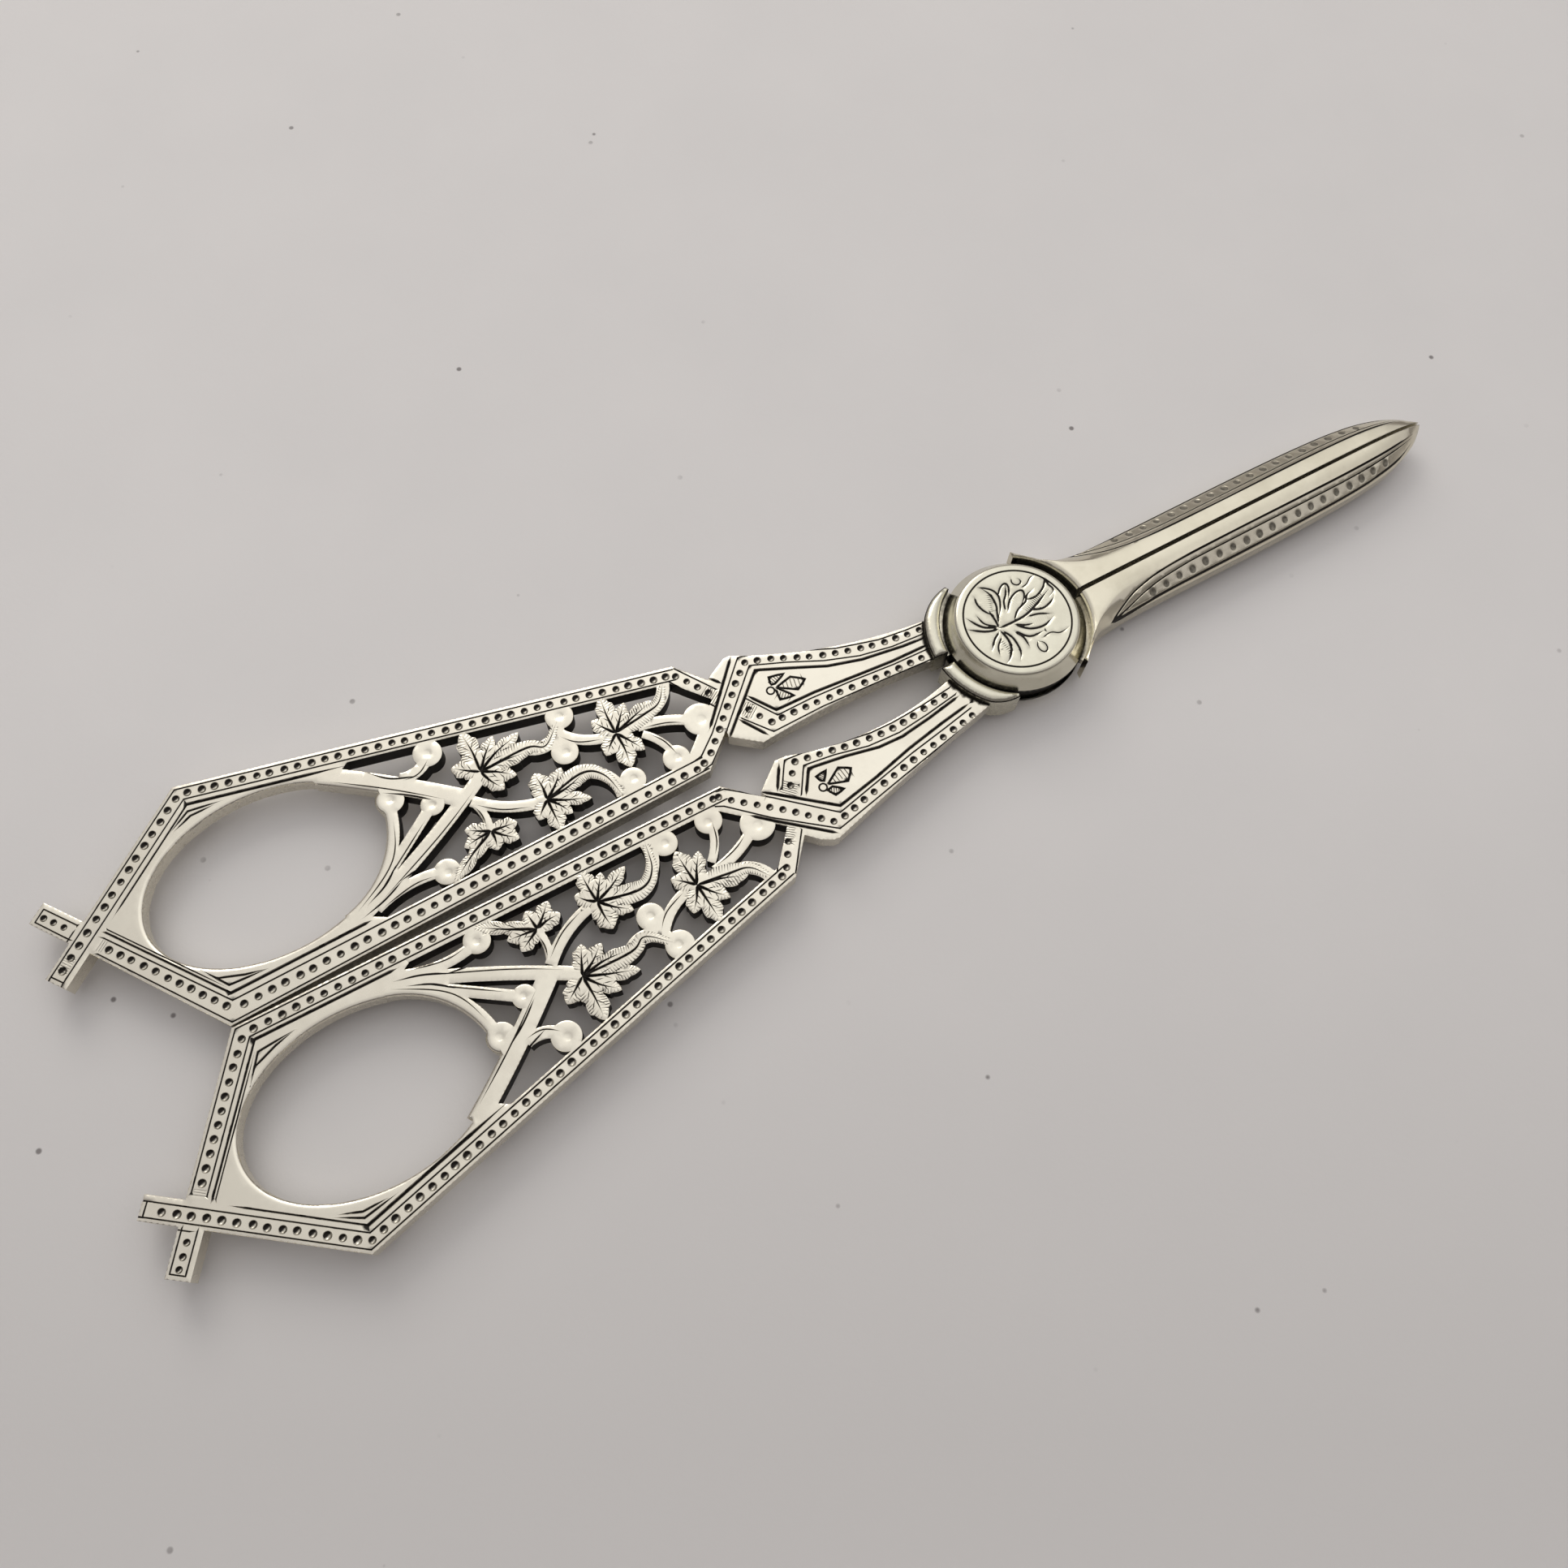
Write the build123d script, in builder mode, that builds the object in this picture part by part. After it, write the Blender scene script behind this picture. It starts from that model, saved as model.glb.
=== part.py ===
from build123d import *
import os
from math import acos, cos, degrees, hypot, radians, sin

# Silver grape shears, closed and lying flat. Millimetres.
# +Y points to the blades' tips, +Z up and +X to the right. The origin is the middle of the
# outline on the table. Each half is a pierced handle, a collar and the blade across the joint.

# Reach of the two ends from the joint's axis, and half the width over both handles
handle_reach = 113.1
blade_reach = 62.2
handle_half_width = 28.1

# The joint: a boss on each side of two lapped round plates
boss_thickness = 2.35
boss_base_radius = 7.9
boss_rim_radius = 7.35
boss_face_radius = 7.0
boss_rim_height = 0.3
lap_thickness = 0.9
lap_gap = 0.1
lap_radius = 8.2
screw_radius = 1.5
screw_clearance = 0.05
screw_grip = 1.4
screw_head_radius = 2.8
screw_head_thickness = 1.1
screw_slot_width = 0.6
screw_slot_depth = 0.45

# Collars and shoulders, which run round the joint
joint_gap = 0.8
collar_width = 1.8
collar_tip_width = 0.5
collar_height = 4.4
collar_round = 0.6
collar_start_angle = 4.0
collar_end_angle = 60.5
arm_start_angle = 1.5
arm_end_angle = 58.0

# Handles: one flat plate each, cut into straps, a finger ring, a vine and a neck
plate_thickness = 2.2
strap_width = 2.1
end_strap_width = 2.6
cross_strap_width = 2.85
least_opening = 0.8

# Blades
root_thickness = 4.8
blade_half_width = 4.9
seam_gap = 0.3
lip_width = 0.8
cut_overrun = 5.0

# Heights and places worked out from the sizes above
lap_height = boss_thickness + lap_thickness + lap_gap / 2
total_height = 2 * lap_height
plate_floor = lap_height - plate_thickness / 2
collar_floor = lap_height - collar_height / 2
pivot_y = (handle_reach - blade_reach) / 2
shoulder_radius = lap_radius + joint_gap
collar_radius = shoulder_radius + collar_width
bore_radius = screw_radius + screw_clearance
ring_half_length = 0.1207 * handle_reach
ring_half_width = 0.338 * handle_half_width
stem_width = 0.0747 * handle_half_width
berry_radius = 0.0623 * handle_half_width
leaf_length = 0.1708 * handle_half_width

# Corners of each handle's straps: shares of the half width across and of the handle's reach
# behind the pivot. The real pair is hand made, so its two halves differ a little.
right_corners = {
    "free_end": (0.498, 1.000),
    "outer_far": (1.007, 0.832),
    "outer_near": (0.516, 0.337),
    "outer_end": (0.330, 0.297),
    "stub_end": (0.730, 0.996),
    "inner_far": (0.018, 0.866),
    "inner_near": (0.041, 0.357),
    "inner_end": (0.368, 0.267),
}
left_corners = {
    "free_end": (0.496, 1.000),
    "outer_far": (1.007, 0.830),
    "outer_near": (0.530, 0.337),
    "outer_end": (0.331, 0.297),
    "stub_end": (0.736, 0.996),
    "inner_far": (0.018, 0.866),
    "inner_near": (0.043, 0.357),
    "inner_end": (0.368, 0.266),
}
ring_centre_shares = (0.492, 0.782)

# Far side of the web between the straps round the finger ring
web_far_shares = [(0.048, 0.861), (0.566, 0.955), (0.960, 0.830)]

# Root of the ring's web on the vine side, from the inner strap to the outer one
web_shares = [
    (0.043, 0.699),
    (0.103, 0.699),
    (0.231, 0.752),
    (0.498, 0.778),
    (0.700, 0.700),
    (0.779, 0.668),
    (0.836, 0.668),
]

# Neck and the two small tabs that fill the crossing at its wide end
right_neck_base_shares = [
    (0.050, 0.283),
    (0.046, 0.295),
    (0.136, 0.323),
    (0.270, 0.318),
    (0.378, 0.309),
    (0.431, 0.296),
    (0.456, 0.285),
    (0.459, 0.279),
]
left_neck_base_shares = [
    (0.050, 0.283),
    (0.046, 0.295),
    (0.136, 0.323),
    (0.270, 0.318),
    (0.406, 0.311),
    (0.459, 0.286),
    (0.459, 0.279),
]

# Sides of the neck: middle of each side, and the angle at which it meets the collar
right_neck = {"outer_shares": (0.363, 0.187), "outer_angle": 42.0}
right_neck.update({"inner_shares": (0.121, 0.186), "inner_angle": 11.5})
left_neck = {"outer_shares": (0.300, 0.187), "outer_angle": 33.0}
left_neck.update({"inner_shares": (0.059, 0.195), "inner_angle": 5.0})

# Shift of the whole vine on each handle
right_vine_shift = (-0.006, 0.002)
left_vine_shift = (0.006, -0.002)

# Vine stems: start, middle and end as for the corners, then the width as a share of the main stem
stem_shares = [
    ((0.775, 0.704), (0.591, 0.642), (0.406, 0.587), 1.04),
    ((0.150, 0.716), (0.324, 0.621), (0.473, 0.556), 0.76),
    ((0.377, 0.581), (0.294, 0.556), (0.242, 0.524), 0.64),
    ((0.356, 0.579), (0.302, 0.576), (0.235, 0.577), 0.43),
    ((0.199, 0.703), (0.318, 0.660), (0.434, 0.618), 0.62),
    ((0.157, 0.734), (0.306, 0.676), (0.520, 0.654), 0.70),
    ((0.144, 0.706), (0.178, 0.664), (0.160, 0.633), 0.60),
    ((0.601, 0.633), (0.598, 0.615), (0.648, 0.598), 0.66),
    ((0.473, 0.473), (0.413, 0.459), (0.366, 0.429), 0.62),
    ((0.349, 0.401), (0.318, 0.372), (0.267, 0.349), 0.62),
    ((0.153, 0.381), (0.240, 0.387), (0.310, 0.400), 0.47),
    ((0.480, 0.509), (0.452, 0.491), (0.524, 0.470), 0.76),
    ((0.274, 0.473), (0.224, 0.454), (0.108, 0.447), 0.71),
    ((0.384, 0.390), (0.402, 0.370), (0.473, 0.356), 0.71),
]

# Berries: place as for the corners, then the radius as a share of the largest
berry_shares = [
    ((0.537, 0.651), 0.94),
    ((0.438, 0.616), 0.76),
    ((0.154, 0.632), 0.86),
    ((0.651, 0.598), 0.95),
    ((0.544, 0.465), 0.93),
    ((0.391, 0.477), 0.89),
    ((0.150, 0.431), 0.86),
    ((0.150, 0.382), 0.90),
    ((0.256, 0.341), 1.14),
]

# Leaves: place of the stalk, then each lobe's heading in degrees from +Y outwards, and its length
# and width as shares of the leaf's length
leaf_shares = [
    (
        (0.475, 0.560),
        [
            (89, 1.14, 0.56),
            (145, 0.70, 0.48),
            (48, 0.94, 0.40),
            (22, 1.30, 0.42),
            (-3, 1.22, 0.40),
            (-34, 0.86, 0.42),
            (-66, 0.74, 0.46),
        ],
    ),
    (
        (0.238, 0.515),
        [
            (-92, 0.84, 0.48),
            (-137, 0.54, 0.42),
            (-57, 0.70, 0.36),
            (-26, 1.04, 0.36),
            (10, 1.17, 0.42),
            (42, 0.86, 0.40),
            (88, 0.74, 0.56),
        ],
    ),
    (
        (0.224, 0.577),
        [
            (-150, 1.48, 0.32),
            (-174, 0.72, 0.38),
            (150, 0.62, 0.40),
            (-44, 0.68, 0.42),
            (-8, 0.62, 0.42),
            (-97, 0.50, 0.40),
        ],
    ),
    (
        (0.365, 0.423),
        [
            (86, 1.04, 0.50),
            (124, 0.68, 0.46),
            (50, 0.82, 0.38),
            (17, 1.20, 0.44),
            (-60, 0.82, 0.40),
            (-94, 0.96, 0.52),
            (-138, 0.62, 0.46),
        ],
    ),
]

# One side of a lobe from its foot to its tip: shares of its length, and of its width
lobe_edge_shares = [
    (0.00, 0.22),
    (0.44, 0.50),
    (0.50, 0.39),
    (0.76, 0.44),
    (0.81, 0.31),
]
lobe_bulge_share = 0.08
lobe_step_share = 0.17

# Stations of a blade's shoulder, which runs round the joint to a horn: place beyond the pivot,
# outer edge and flat band's edge as shares of the shoulder's radius, then the crown and ridge
# heights as shares of half the root's thickness
horn_station_shares = [
    (0.511, 0.936, 0.926, 1.00, 0.95),
    (0.643, 0.811, 0.795, 1.00, 0.90),
    (0.760, 0.719, 0.670, 1.00, 0.78),
    (0.871, 0.653, 0.588, 1.00, 0.62),
    (0.988, 0.604, 0.506, 1.00, 0.46),
    (1.133, 0.577, 0.419, 1.00, 0.34),
]

# Stations from there to the point: place as a share of that length, outer edge and flat band's
# edge as shares of the blade's half width, then crown and ridge, and the lip as a share of its width
blade_station_shares = [
    (0.035, 1.03, 0.59, 1.00, 0.26, 1.00),
    (0.073, 1.01, 0.47, 1.00, 0.21, 1.00),
    (0.133, 1.00, 0.40, 1.00, 0.20, 1.00),
    (0.282, 1.00, 0.38, 1.00, 0.20, 1.00),
    (0.426, 1.00, 0.38, 0.99, 0.20, 1.00),
    (0.593, 0.98, 0.38, 0.98, 0.19, 1.00),
    (0.725, 0.93, 0.37, 0.96, 0.18, 1.00),
    (0.821, 0.84, 0.35, 0.92, 0.17, 1.00),
    (0.892, 0.68, 0.30, 0.83, 0.16, 0.95),
    (0.950, 0.44, 0.20, 0.62, 0.13, 0.75),
    (0.982, 0.22, 0.10, 0.40, 0.09, 0.50),
    (1.000, 0.07, 0.04, 0.24, 0.06, 0.30),
]


def spot(shares, shift=(0, 0)):
    """Place on the right handle from its shares of the half width and the reach."""
    across = (shares[0] + shift[0]) * handle_half_width
    along = (shares[1] + shift[1]) * handle_reach
    return (across, pivot_y - along)


def round_joint(radius, angle, heading=1):
    """Place on a circle about the pivot, the angle from +Y (or -Y) outwards."""
    turn = radians(angle)
    return (radius * sin(turn), pivot_y + heading * radius * cos(turn))


def mitred(points, width):
    """Second edge of a strap: the corners of a line moved to its left by the width."""
    corners = []
    units = []
    for (x0, y0), (x1, y1) in zip(points, points[1:]):
        length = hypot(x1 - x0, y1 - y0)
        units.append(((x1 - x0) / length, (y1 - y0) / length))
    for index, (x, y) in enumerate(points):
        before = units[max(index - 1, 0)]
        after = units[min(index, len(units) - 1)]
        across = (-before[1] - after[1], before[0] + after[0])
        stretch = width * 2 / (across[0] ** 2 + across[1] ** 2)
        corners.append((x + across[0] * stretch, y + across[1] * stretch))
    return corners


def strap(points, width):
    """Flat strap to the left of a line of corners."""
    with BuildLine() as outline:
        Polyline(*points, *reversed(mitred(points, width)), close=True)
    make_face(outline.edges())


def stem(start, middle, end, width):
    """Curved stem of even width about an arc through three places."""
    path = ThreePointArc(start, middle, end, mode=Mode.PRIVATE)
    edges = []
    for reach in (-width / 2, width / 2):
        edge = []
        for share in (0, 0.5, 1):
            along = path % share
            edge.append(path @ share + Vector(-along.Y, along.X) * reach)
        edges.append(edge)
    with BuildLine() as outline:
        ThreePointArc(*edges[0])
        Line(edges[0][2], edges[1][2])
        ThreePointArc(*reversed(edges[1]))
        Line(edges[1][0], edges[0][0])
    make_face(outline.edges())


def lobe(stalk, heading, length, width):
    """One toothed lobe of a vine leaf."""
    outwards = (sin(radians(heading)), cos(radians(heading)))
    points = []
    for side in (-1, 1):
        edge = []
        for along_share, across_share in lobe_edge_shares:
            along = along_share * length
            across = side * across_share * width
            x = stalk[0] + along * outwards[0] + across * outwards[1]
            y = stalk[1] + along * outwards[1] - across * outwards[0]
            edge.append((x, y))
        if side > 0:
            tip = (stalk[0] + length * outwards[0], stalk[1] + length * outwards[1])
            edge.append(tip)
            edge.reverse()
        points.extend(edge)
    with BuildLine() as outline:
        for start, end in zip(points, points[1:] + points[:1]):
            side_length = hypot(end[0] - start[0], end[1] - start[1])
            if side_length < lobe_step_share * length:
                Line(start, end)
            else:
                SagittaArc(start, end, lobe_bulge_share * side_length)
    make_face(outline.edges())


def ring_web():
    """Web between the straps round the finger ring, with the ring's oval opening."""
    inside = []
    for shares in web_far_shares:
        inside.append(spot(shares))
    for shares in reversed(web_shares):
        inside.append(spot(shares))
    with BuildLine() as outline:
        Polyline(*inside, close=True)
    make_face(outline.edges())
    with Locations(spot(ring_centre_shares)):
        Ellipse(ring_half_width, ring_half_length, mode=Mode.SUBTRACT)


def vine(shift):
    """Stems, berries and leaves between the ring and the neck."""
    for start, middle, end, width_share in stem_shares:
        path = [spot(start, shift), spot(middle, shift), spot(end, shift)]
        stem(*path, width_share * stem_width)
    for shares, radius_share in berry_shares:
        with Locations(spot(shares, shift)):
            Circle(radius_share * berry_radius)
    for stalk_shares, lobes in leaf_shares:
        stalk = spot(stalk_shares, shift)
        for heading, length_share, width_share in lobes:
            lobe(stalk, heading, length_share * leaf_length, width_share * leaf_length)


def neck(base_shares, sides):
    """Neck from the crossing to the collar, with the tabs at its wide end."""
    base = []
    for shares in base_shares:
        base.append(spot(shares))
    outer_end = round_joint(collar_radius, sides["outer_angle"], -1)
    inner_end = round_joint(collar_radius, sides["inner_angle"], -1)
    middle_angle = (sides["outer_angle"] + sides["inner_angle"]) / 2
    collar_middle = round_joint(collar_radius, middle_angle, -1)
    with BuildLine() as outline:
        Polyline(*base)
        ThreePointArc(base[-1], spot(sides["outer_shares"]), outer_end)
        ThreePointArc(outer_end, collar_middle, inner_end)
        ThreePointArc(inner_end, spot(sides["inner_shares"]), base[0])
    make_face(outline.edges())


def handle_outline(corners, neck_base, neck_sides, vine_shift):
    """Whole outline of the right handle, cut through wherever the real plate is pierced."""
    with BuildSketch() as outline:
        ring_web()
        outer_strap = []
        for name in ("outer_end", "outer_near", "outer_far"):
            outer_strap.append(spot(corners[name]))
        strap(outer_strap, -strap_width)
        strap([spot(corners["outer_far"]), spot(corners["free_end"])], -end_strap_width)
        strap([spot(corners["inner_near"]), spot(corners["inner_far"])], strap_width)
        strap([spot(corners["inner_far"]), spot(corners["stub_end"])], end_strap_width)
        strap([spot(corners["inner_near"]), spot(corners["inner_end"])], -cross_strap_width)
        neck(neck_base, neck_sides)
        vine(vine_shift)
    plate = outline.face()
    openings = []
    for opening in plate.inner_wires():
        if abs(Face(opening).area) > least_opening**2:
            openings.append(opening)
    return Face(plate.outer_wire(), openings)


def sector(inner_radius, outer_radius, start_angle, end_angle, heading):
    """Piece of a flat ring about the pivot."""
    middle_angle = (start_angle + end_angle) / 2
    inner_start = round_joint(inner_radius, start_angle, heading)
    inner_end = round_joint(inner_radius, end_angle, heading)
    outer_start = round_joint(outer_radius, start_angle, heading)
    outer_end = round_joint(outer_radius, end_angle, heading)
    with BuildLine() as outline:
        ThreePointArc(inner_start, round_joint(inner_radius, middle_angle, heading), inner_end)
        Line(inner_end, outer_end)
        ThreePointArc(outer_end, round_joint(outer_radius, middle_angle, heading), outer_start)
        Line(outer_start, inner_start)
    make_face(outline.edges())


def blade_section(along, half_width, band, heights, lip):
    """One cross-section of the right blade, seen from its tip."""
    crown = heights[0] * root_thickness / 2
    ridge = heights[1] * root_thickness / 2
    station = Plane(
        origin=(0, pivot_y + along, lap_height), x_dir=(1, 0, 0), z_dir=(0, -1, 0)
    )
    with BuildSketch(station) as section:
        with BuildLine():
            Polyline(
                (-lip, crown),
                (band, crown),
                (half_width, ridge),
                (half_width, -ridge),
                (band, -crown),
                (-lip, -crown),
                close=True,
            )
        make_face()
    return section.sketch


def blade_body():
    """Blade with its shoulder running round the joint, before the lap is cut."""
    sections = []
    for along, outer, band, *heights in horn_station_shares:
        along = along * shoulder_radius
        outer = outer * shoulder_radius
        band = band * shoulder_radius
        sections.append(blade_section(along, outer, band, heights, lip_width))
    horn_reach = horn_station_shares[-1][0] * shoulder_radius
    for share, outer, band, *heights, lip in blade_station_shares:
        along = horn_reach + share * (blade_reach - horn_reach)
        outer = outer * blade_half_width
        band = band * blade_half_width
        sections.append(blade_section(along, outer, band, heights, lip * lip_width))
    with BuildPart() as body:
        loft(sections, ruled=True)
        with Locations((0, pivot_y, lap_height)):
            Cylinder(shoulder_radius, total_height, mode=Mode.SUBTRACT)
    return body.part


def lap_plate(floor):
    """Round lapped plate with the two arms that carry the shoulder and the collar."""
    with BuildPart() as plate:
        with BuildSketch(Plane.XY.offset(floor)):
            with Locations((0, pivot_y)):
                Circle(lap_radius)
            inner = lap_radius - joint_gap
            sector(inner, shoulder_radius + collar_tip_width / 2, arm_start_angle, arm_end_angle, 1)
            sector(inner, shoulder_radius, -collar_start_angle, -collar_end_angle, -1)
            with Locations((0, pivot_y)):
                Circle(bore_radius, mode=Mode.SUBTRACT)
        extrude(amount=lap_thickness)
    return plate.part


def side_cut(inner_edge, floor, height):
    """Block that clears a blade's inner side up to an edge, between two heights."""
    width = cut_overrun + inner_edge
    length = blade_reach + cut_overrun
    with Locations((-cut_overrun, pivot_y, floor)):
        Box(width, length, height, align=(Align.MIN, Align.MIN, Align.MIN), mode=Mode.SUBTRACT)


lap_top = lap_height + lap_gap / 2
lap_bottom = lap_height - lap_gap / 2

# Right blade: crosses to the left handle; its plate is the upper one
with BuildPart() as right_blade:
    add(blade_body())
    side_cut(seam_gap / 2, lap_height, total_height)
    side_cut(lip_width + seam_gap, 0, lap_top)
    add(lap_plate(lap_top))
right_blade.part.label = "right_blade"

# Left blade: crosses to the right handle; its lip lies under the right blade
with BuildPart() as left_blade:
    add(blade_body())
    side_cut(seam_gap / 2, lap_bottom, total_height)
    add(lap_plate(lap_bottom - lap_thickness))
    mirror(about=Plane.YZ, mode=Mode.REPLACE)
left_blade.part.label = "left_blade"

# Right handle
with BuildPart() as right_handle:
    with BuildSketch(Plane.XY.offset(plate_floor)):
        add(handle_outline(right_corners, right_neck_base_shares, right_neck, right_vine_shift))
    extrude(amount=plate_thickness)
right_handle.part.label = "right_handle"

# Left handle: the same design, with a straighter inner side to its neck
with BuildPart() as left_handle:
    with BuildSketch(Plane.XY.offset(plate_floor)):
        add(handle_outline(left_corners, left_neck_base_shares, left_neck, left_vine_shift))
    extrude(amount=plate_thickness)
    mirror(about=Plane.YZ, mode=Mode.REPLACE)
left_handle.part.label = "left_handle"


def collar_section(full_angle, height, inset_share):
    """Level section of a collar: a crescent, thinner beyond the neck's outer side."""
    inset = inset_share * collar_round
    outer_radius = collar_radius - inset
    taper_radius = shoulder_radius + (collar_width + collar_tip_width) * 0.54 - inset
    end_radius = shoulder_radius + collar_tip_width - inset / 2
    middle_angle = (collar_start_angle + collar_end_angle) / 2
    start_inner = round_joint(shoulder_radius, collar_start_angle, -1)
    start_outer = round_joint(outer_radius, collar_start_angle, -1)
    full_middle = round_joint(outer_radius, (collar_start_angle + full_angle) / 2, -1)
    full_end = round_joint(outer_radius, full_angle, -1)
    taper_middle = round_joint(taper_radius, (full_angle + collar_end_angle) / 2, -1)
    end_outer = round_joint(end_radius, collar_end_angle, -1)
    end_inner = round_joint(shoulder_radius, collar_end_angle, -1)
    inner_middle = round_joint(shoulder_radius, middle_angle, -1)
    with BuildSketch(Plane.XY.offset(height)) as section:
        with BuildLine():
            Line(start_inner, start_outer)
            ThreePointArc(start_outer, full_middle, full_end)
            ThreePointArc(full_end, taper_middle, end_outer)
            Line(end_outer, end_inner)
            ThreePointArc(end_inner, inner_middle, start_inner)
        make_face()
    return section.sketch


def collar_body(full_angle):
    """Right collar with its outer edges eased above and below."""
    top = collar_floor + collar_height
    sections = [
        collar_section(full_angle, collar_floor, 0.5),
        collar_section(full_angle, collar_floor + collar_round, 0),
        collar_section(full_angle, top - collar_round, 0),
        collar_section(full_angle, top - collar_round / 4, 0.3),
        collar_section(full_angle, top, 1),
    ]
    with BuildPart() as body:
        loft(sections, ruled=True)
    return body.part


# Right collar
with BuildPart() as right_collar:
    add(collar_body(right_neck["outer_angle"]))
right_collar.part.label = "right_collar"

# Left collar
with BuildPart() as left_collar:
    add(collar_body(left_neck["outer_angle"]))
    mirror(about=Plane.YZ, mode=Mode.REPLACE)
left_collar.part.label = "left_collar"


def boss_profile(floor, ceiling):
    """Half section of a boss, from its seat on the lapped plates to its flat face."""
    rim_height = ceiling + (floor - ceiling) * boss_rim_height / boss_thickness
    with BuildSketch(Plane.XZ.offset(-pivot_y)) as profile:
        with BuildLine():
            Polyline(
                (0, floor),
                (boss_base_radius, floor),
                (boss_rim_radius, rim_height),
                (boss_face_radius, ceiling),
                (0, ceiling),
                close=True,
            )
        make_face()
    return profile.sketch


# Front boss: solid disc with a blind hole for the screw's end
with BuildPart() as front_boss:
    add(boss_profile(total_height - boss_thickness, total_height))
    revolve(axis=Axis((0, pivot_y, 0), (0, 0, 1)))
    with Locations((0, pivot_y, total_height - boss_thickness)):
        grip_depth = screw_grip + screw_clearance
        bottom = (Align.CENTER, Align.CENTER, Align.MIN)
        Cylinder(bore_radius, grip_depth, align=bottom, mode=Mode.SUBTRACT)
front_boss.part.label = "front_boss"

# Back boss: the same disc, bored through and counterbored for the screw's head
with BuildPart() as back_boss:
    add(boss_profile(boss_thickness, 0))
    revolve(axis=Axis((0, pivot_y, 0), (0, 0, 1)))
    with Locations((0, pivot_y, 0)):
        bottom = (Align.CENTER, Align.CENTER, Align.MIN)
        Cylinder(bore_radius, boss_thickness, align=bottom, mode=Mode.SUBTRACT)
        head_radius = screw_head_radius + screw_clearance
        Cylinder(head_radius, screw_head_thickness, align=bottom, mode=Mode.SUBTRACT)
back_boss.part.label = "back_boss"

# Pivot screw: slotted head at the back, shank through both plates into the front boss
with BuildPart() as pivot_screw:
    with Locations((0, pivot_y, 0)):
        bottom = (Align.CENTER, Align.CENTER, Align.MIN)
        Cylinder(screw_head_radius, screw_head_thickness, align=bottom)
        shank_length = total_height - boss_thickness + screw_grip
        Cylinder(screw_radius, shank_length, align=bottom)
        slot_length = 2 * screw_head_radius + cut_overrun
        Box(slot_length, screw_slot_width, screw_slot_depth, align=bottom, mode=Mode.SUBTRACT)
pivot_screw.part.label = "pivot_screw"

os.makedirs("parts", exist_ok=True)
export_step(right_blade.part, "parts/right_blade.step")
export_step(left_blade.part, "parts/left_blade.step")
export_step(right_handle.part, "parts/right_handle.step")
export_step(left_handle.part, "parts/left_handle.step")
export_step(right_collar.part, "parts/right_collar.step")
export_step(left_collar.part, "parts/left_collar.step")
export_step(front_boss.part, "parts/front_boss.step")
export_step(back_boss.part, "parts/back_boss.step")
export_step(pivot_screw.part, "parts/pivot_screw.step")
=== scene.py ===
# %% [markdown]
# Silver grape shears, closed and lying flat on pale paper. Each half is a pierced and engraved
# handle, a collar and a blade, and a boss on each side covers the joint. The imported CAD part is
# the frame: every piece made here keeps the place and the size of the plain solid that it
# replaces, and adds the engraving, the wear and the finish.

from math import cos, pi, radians, sin

import bpy
import numpy as np
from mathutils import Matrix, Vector, kdtree
from mathutils.geometry import delaunay_2d_cdt


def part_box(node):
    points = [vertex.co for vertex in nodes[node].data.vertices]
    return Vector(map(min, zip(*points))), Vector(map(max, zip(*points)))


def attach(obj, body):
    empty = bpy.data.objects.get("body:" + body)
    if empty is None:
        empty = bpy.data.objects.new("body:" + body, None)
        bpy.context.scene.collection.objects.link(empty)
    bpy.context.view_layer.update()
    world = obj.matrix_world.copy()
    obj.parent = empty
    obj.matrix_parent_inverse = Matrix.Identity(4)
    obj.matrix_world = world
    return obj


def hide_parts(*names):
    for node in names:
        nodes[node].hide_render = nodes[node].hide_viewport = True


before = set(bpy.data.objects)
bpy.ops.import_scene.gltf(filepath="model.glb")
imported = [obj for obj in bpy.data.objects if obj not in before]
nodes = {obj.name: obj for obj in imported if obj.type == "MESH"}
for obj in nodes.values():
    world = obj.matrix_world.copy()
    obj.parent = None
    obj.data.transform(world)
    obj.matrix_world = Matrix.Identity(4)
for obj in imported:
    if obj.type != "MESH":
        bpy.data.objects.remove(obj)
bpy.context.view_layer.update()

# %% [markdown]
# Sizes below are in millimetres, and turn to metres when a mesh is made. The joint's axis, the
# middle height of the plates and the faces of each piece are read from the frame, so the scene
# follows the part when a size changes there.

# %% Places read from the frame
MM = 0.001


def span(node):
    """Lowest and highest corner of a CAD node in millimetres."""
    low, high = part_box(node)
    return np.array(low) / MM, np.array(high) / MM


screw_low, screw_high = span("pivot_screw")
plate_low, plate_high = span("right_handle")
blade_low, blade_high = span("right_blade")
boss_low, boss_high = span("front_boss")
collar_low, collar_high = span("right_collar")
pivot_y = (screw_low[1] + screw_high[1]) / 2
middle = (plate_low[2] + plate_high[2]) / 2
print("pivot", round(pivot_y, 3), "middle height", round(middle, 3))

# %% [markdown]
# Every surface of the real shears is cut with a graver: long V-shaped lines, rows of punched
# dots and short hatching. They could be painted into a bump map, but that looks printed on as
# soon as light grazes it, so the cuts are real geometry. A stroke is a line with a width and a
# depth at each of its points, and a pit is a round punch mark.


# %% Lines
def resampled(points, step):
    """The same line with points added so that no two are further apart than the step."""
    points = np.asarray(points, float)
    made = [points[0]]
    for start, end in zip(points, points[1:]):
        parts = max(1, int(np.ceil(np.hypot(*(end - start)) / step)))
        for part in range(1, parts + 1):
            made.append(start + (end - start) * part / parts)
    return np.array(made)


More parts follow.
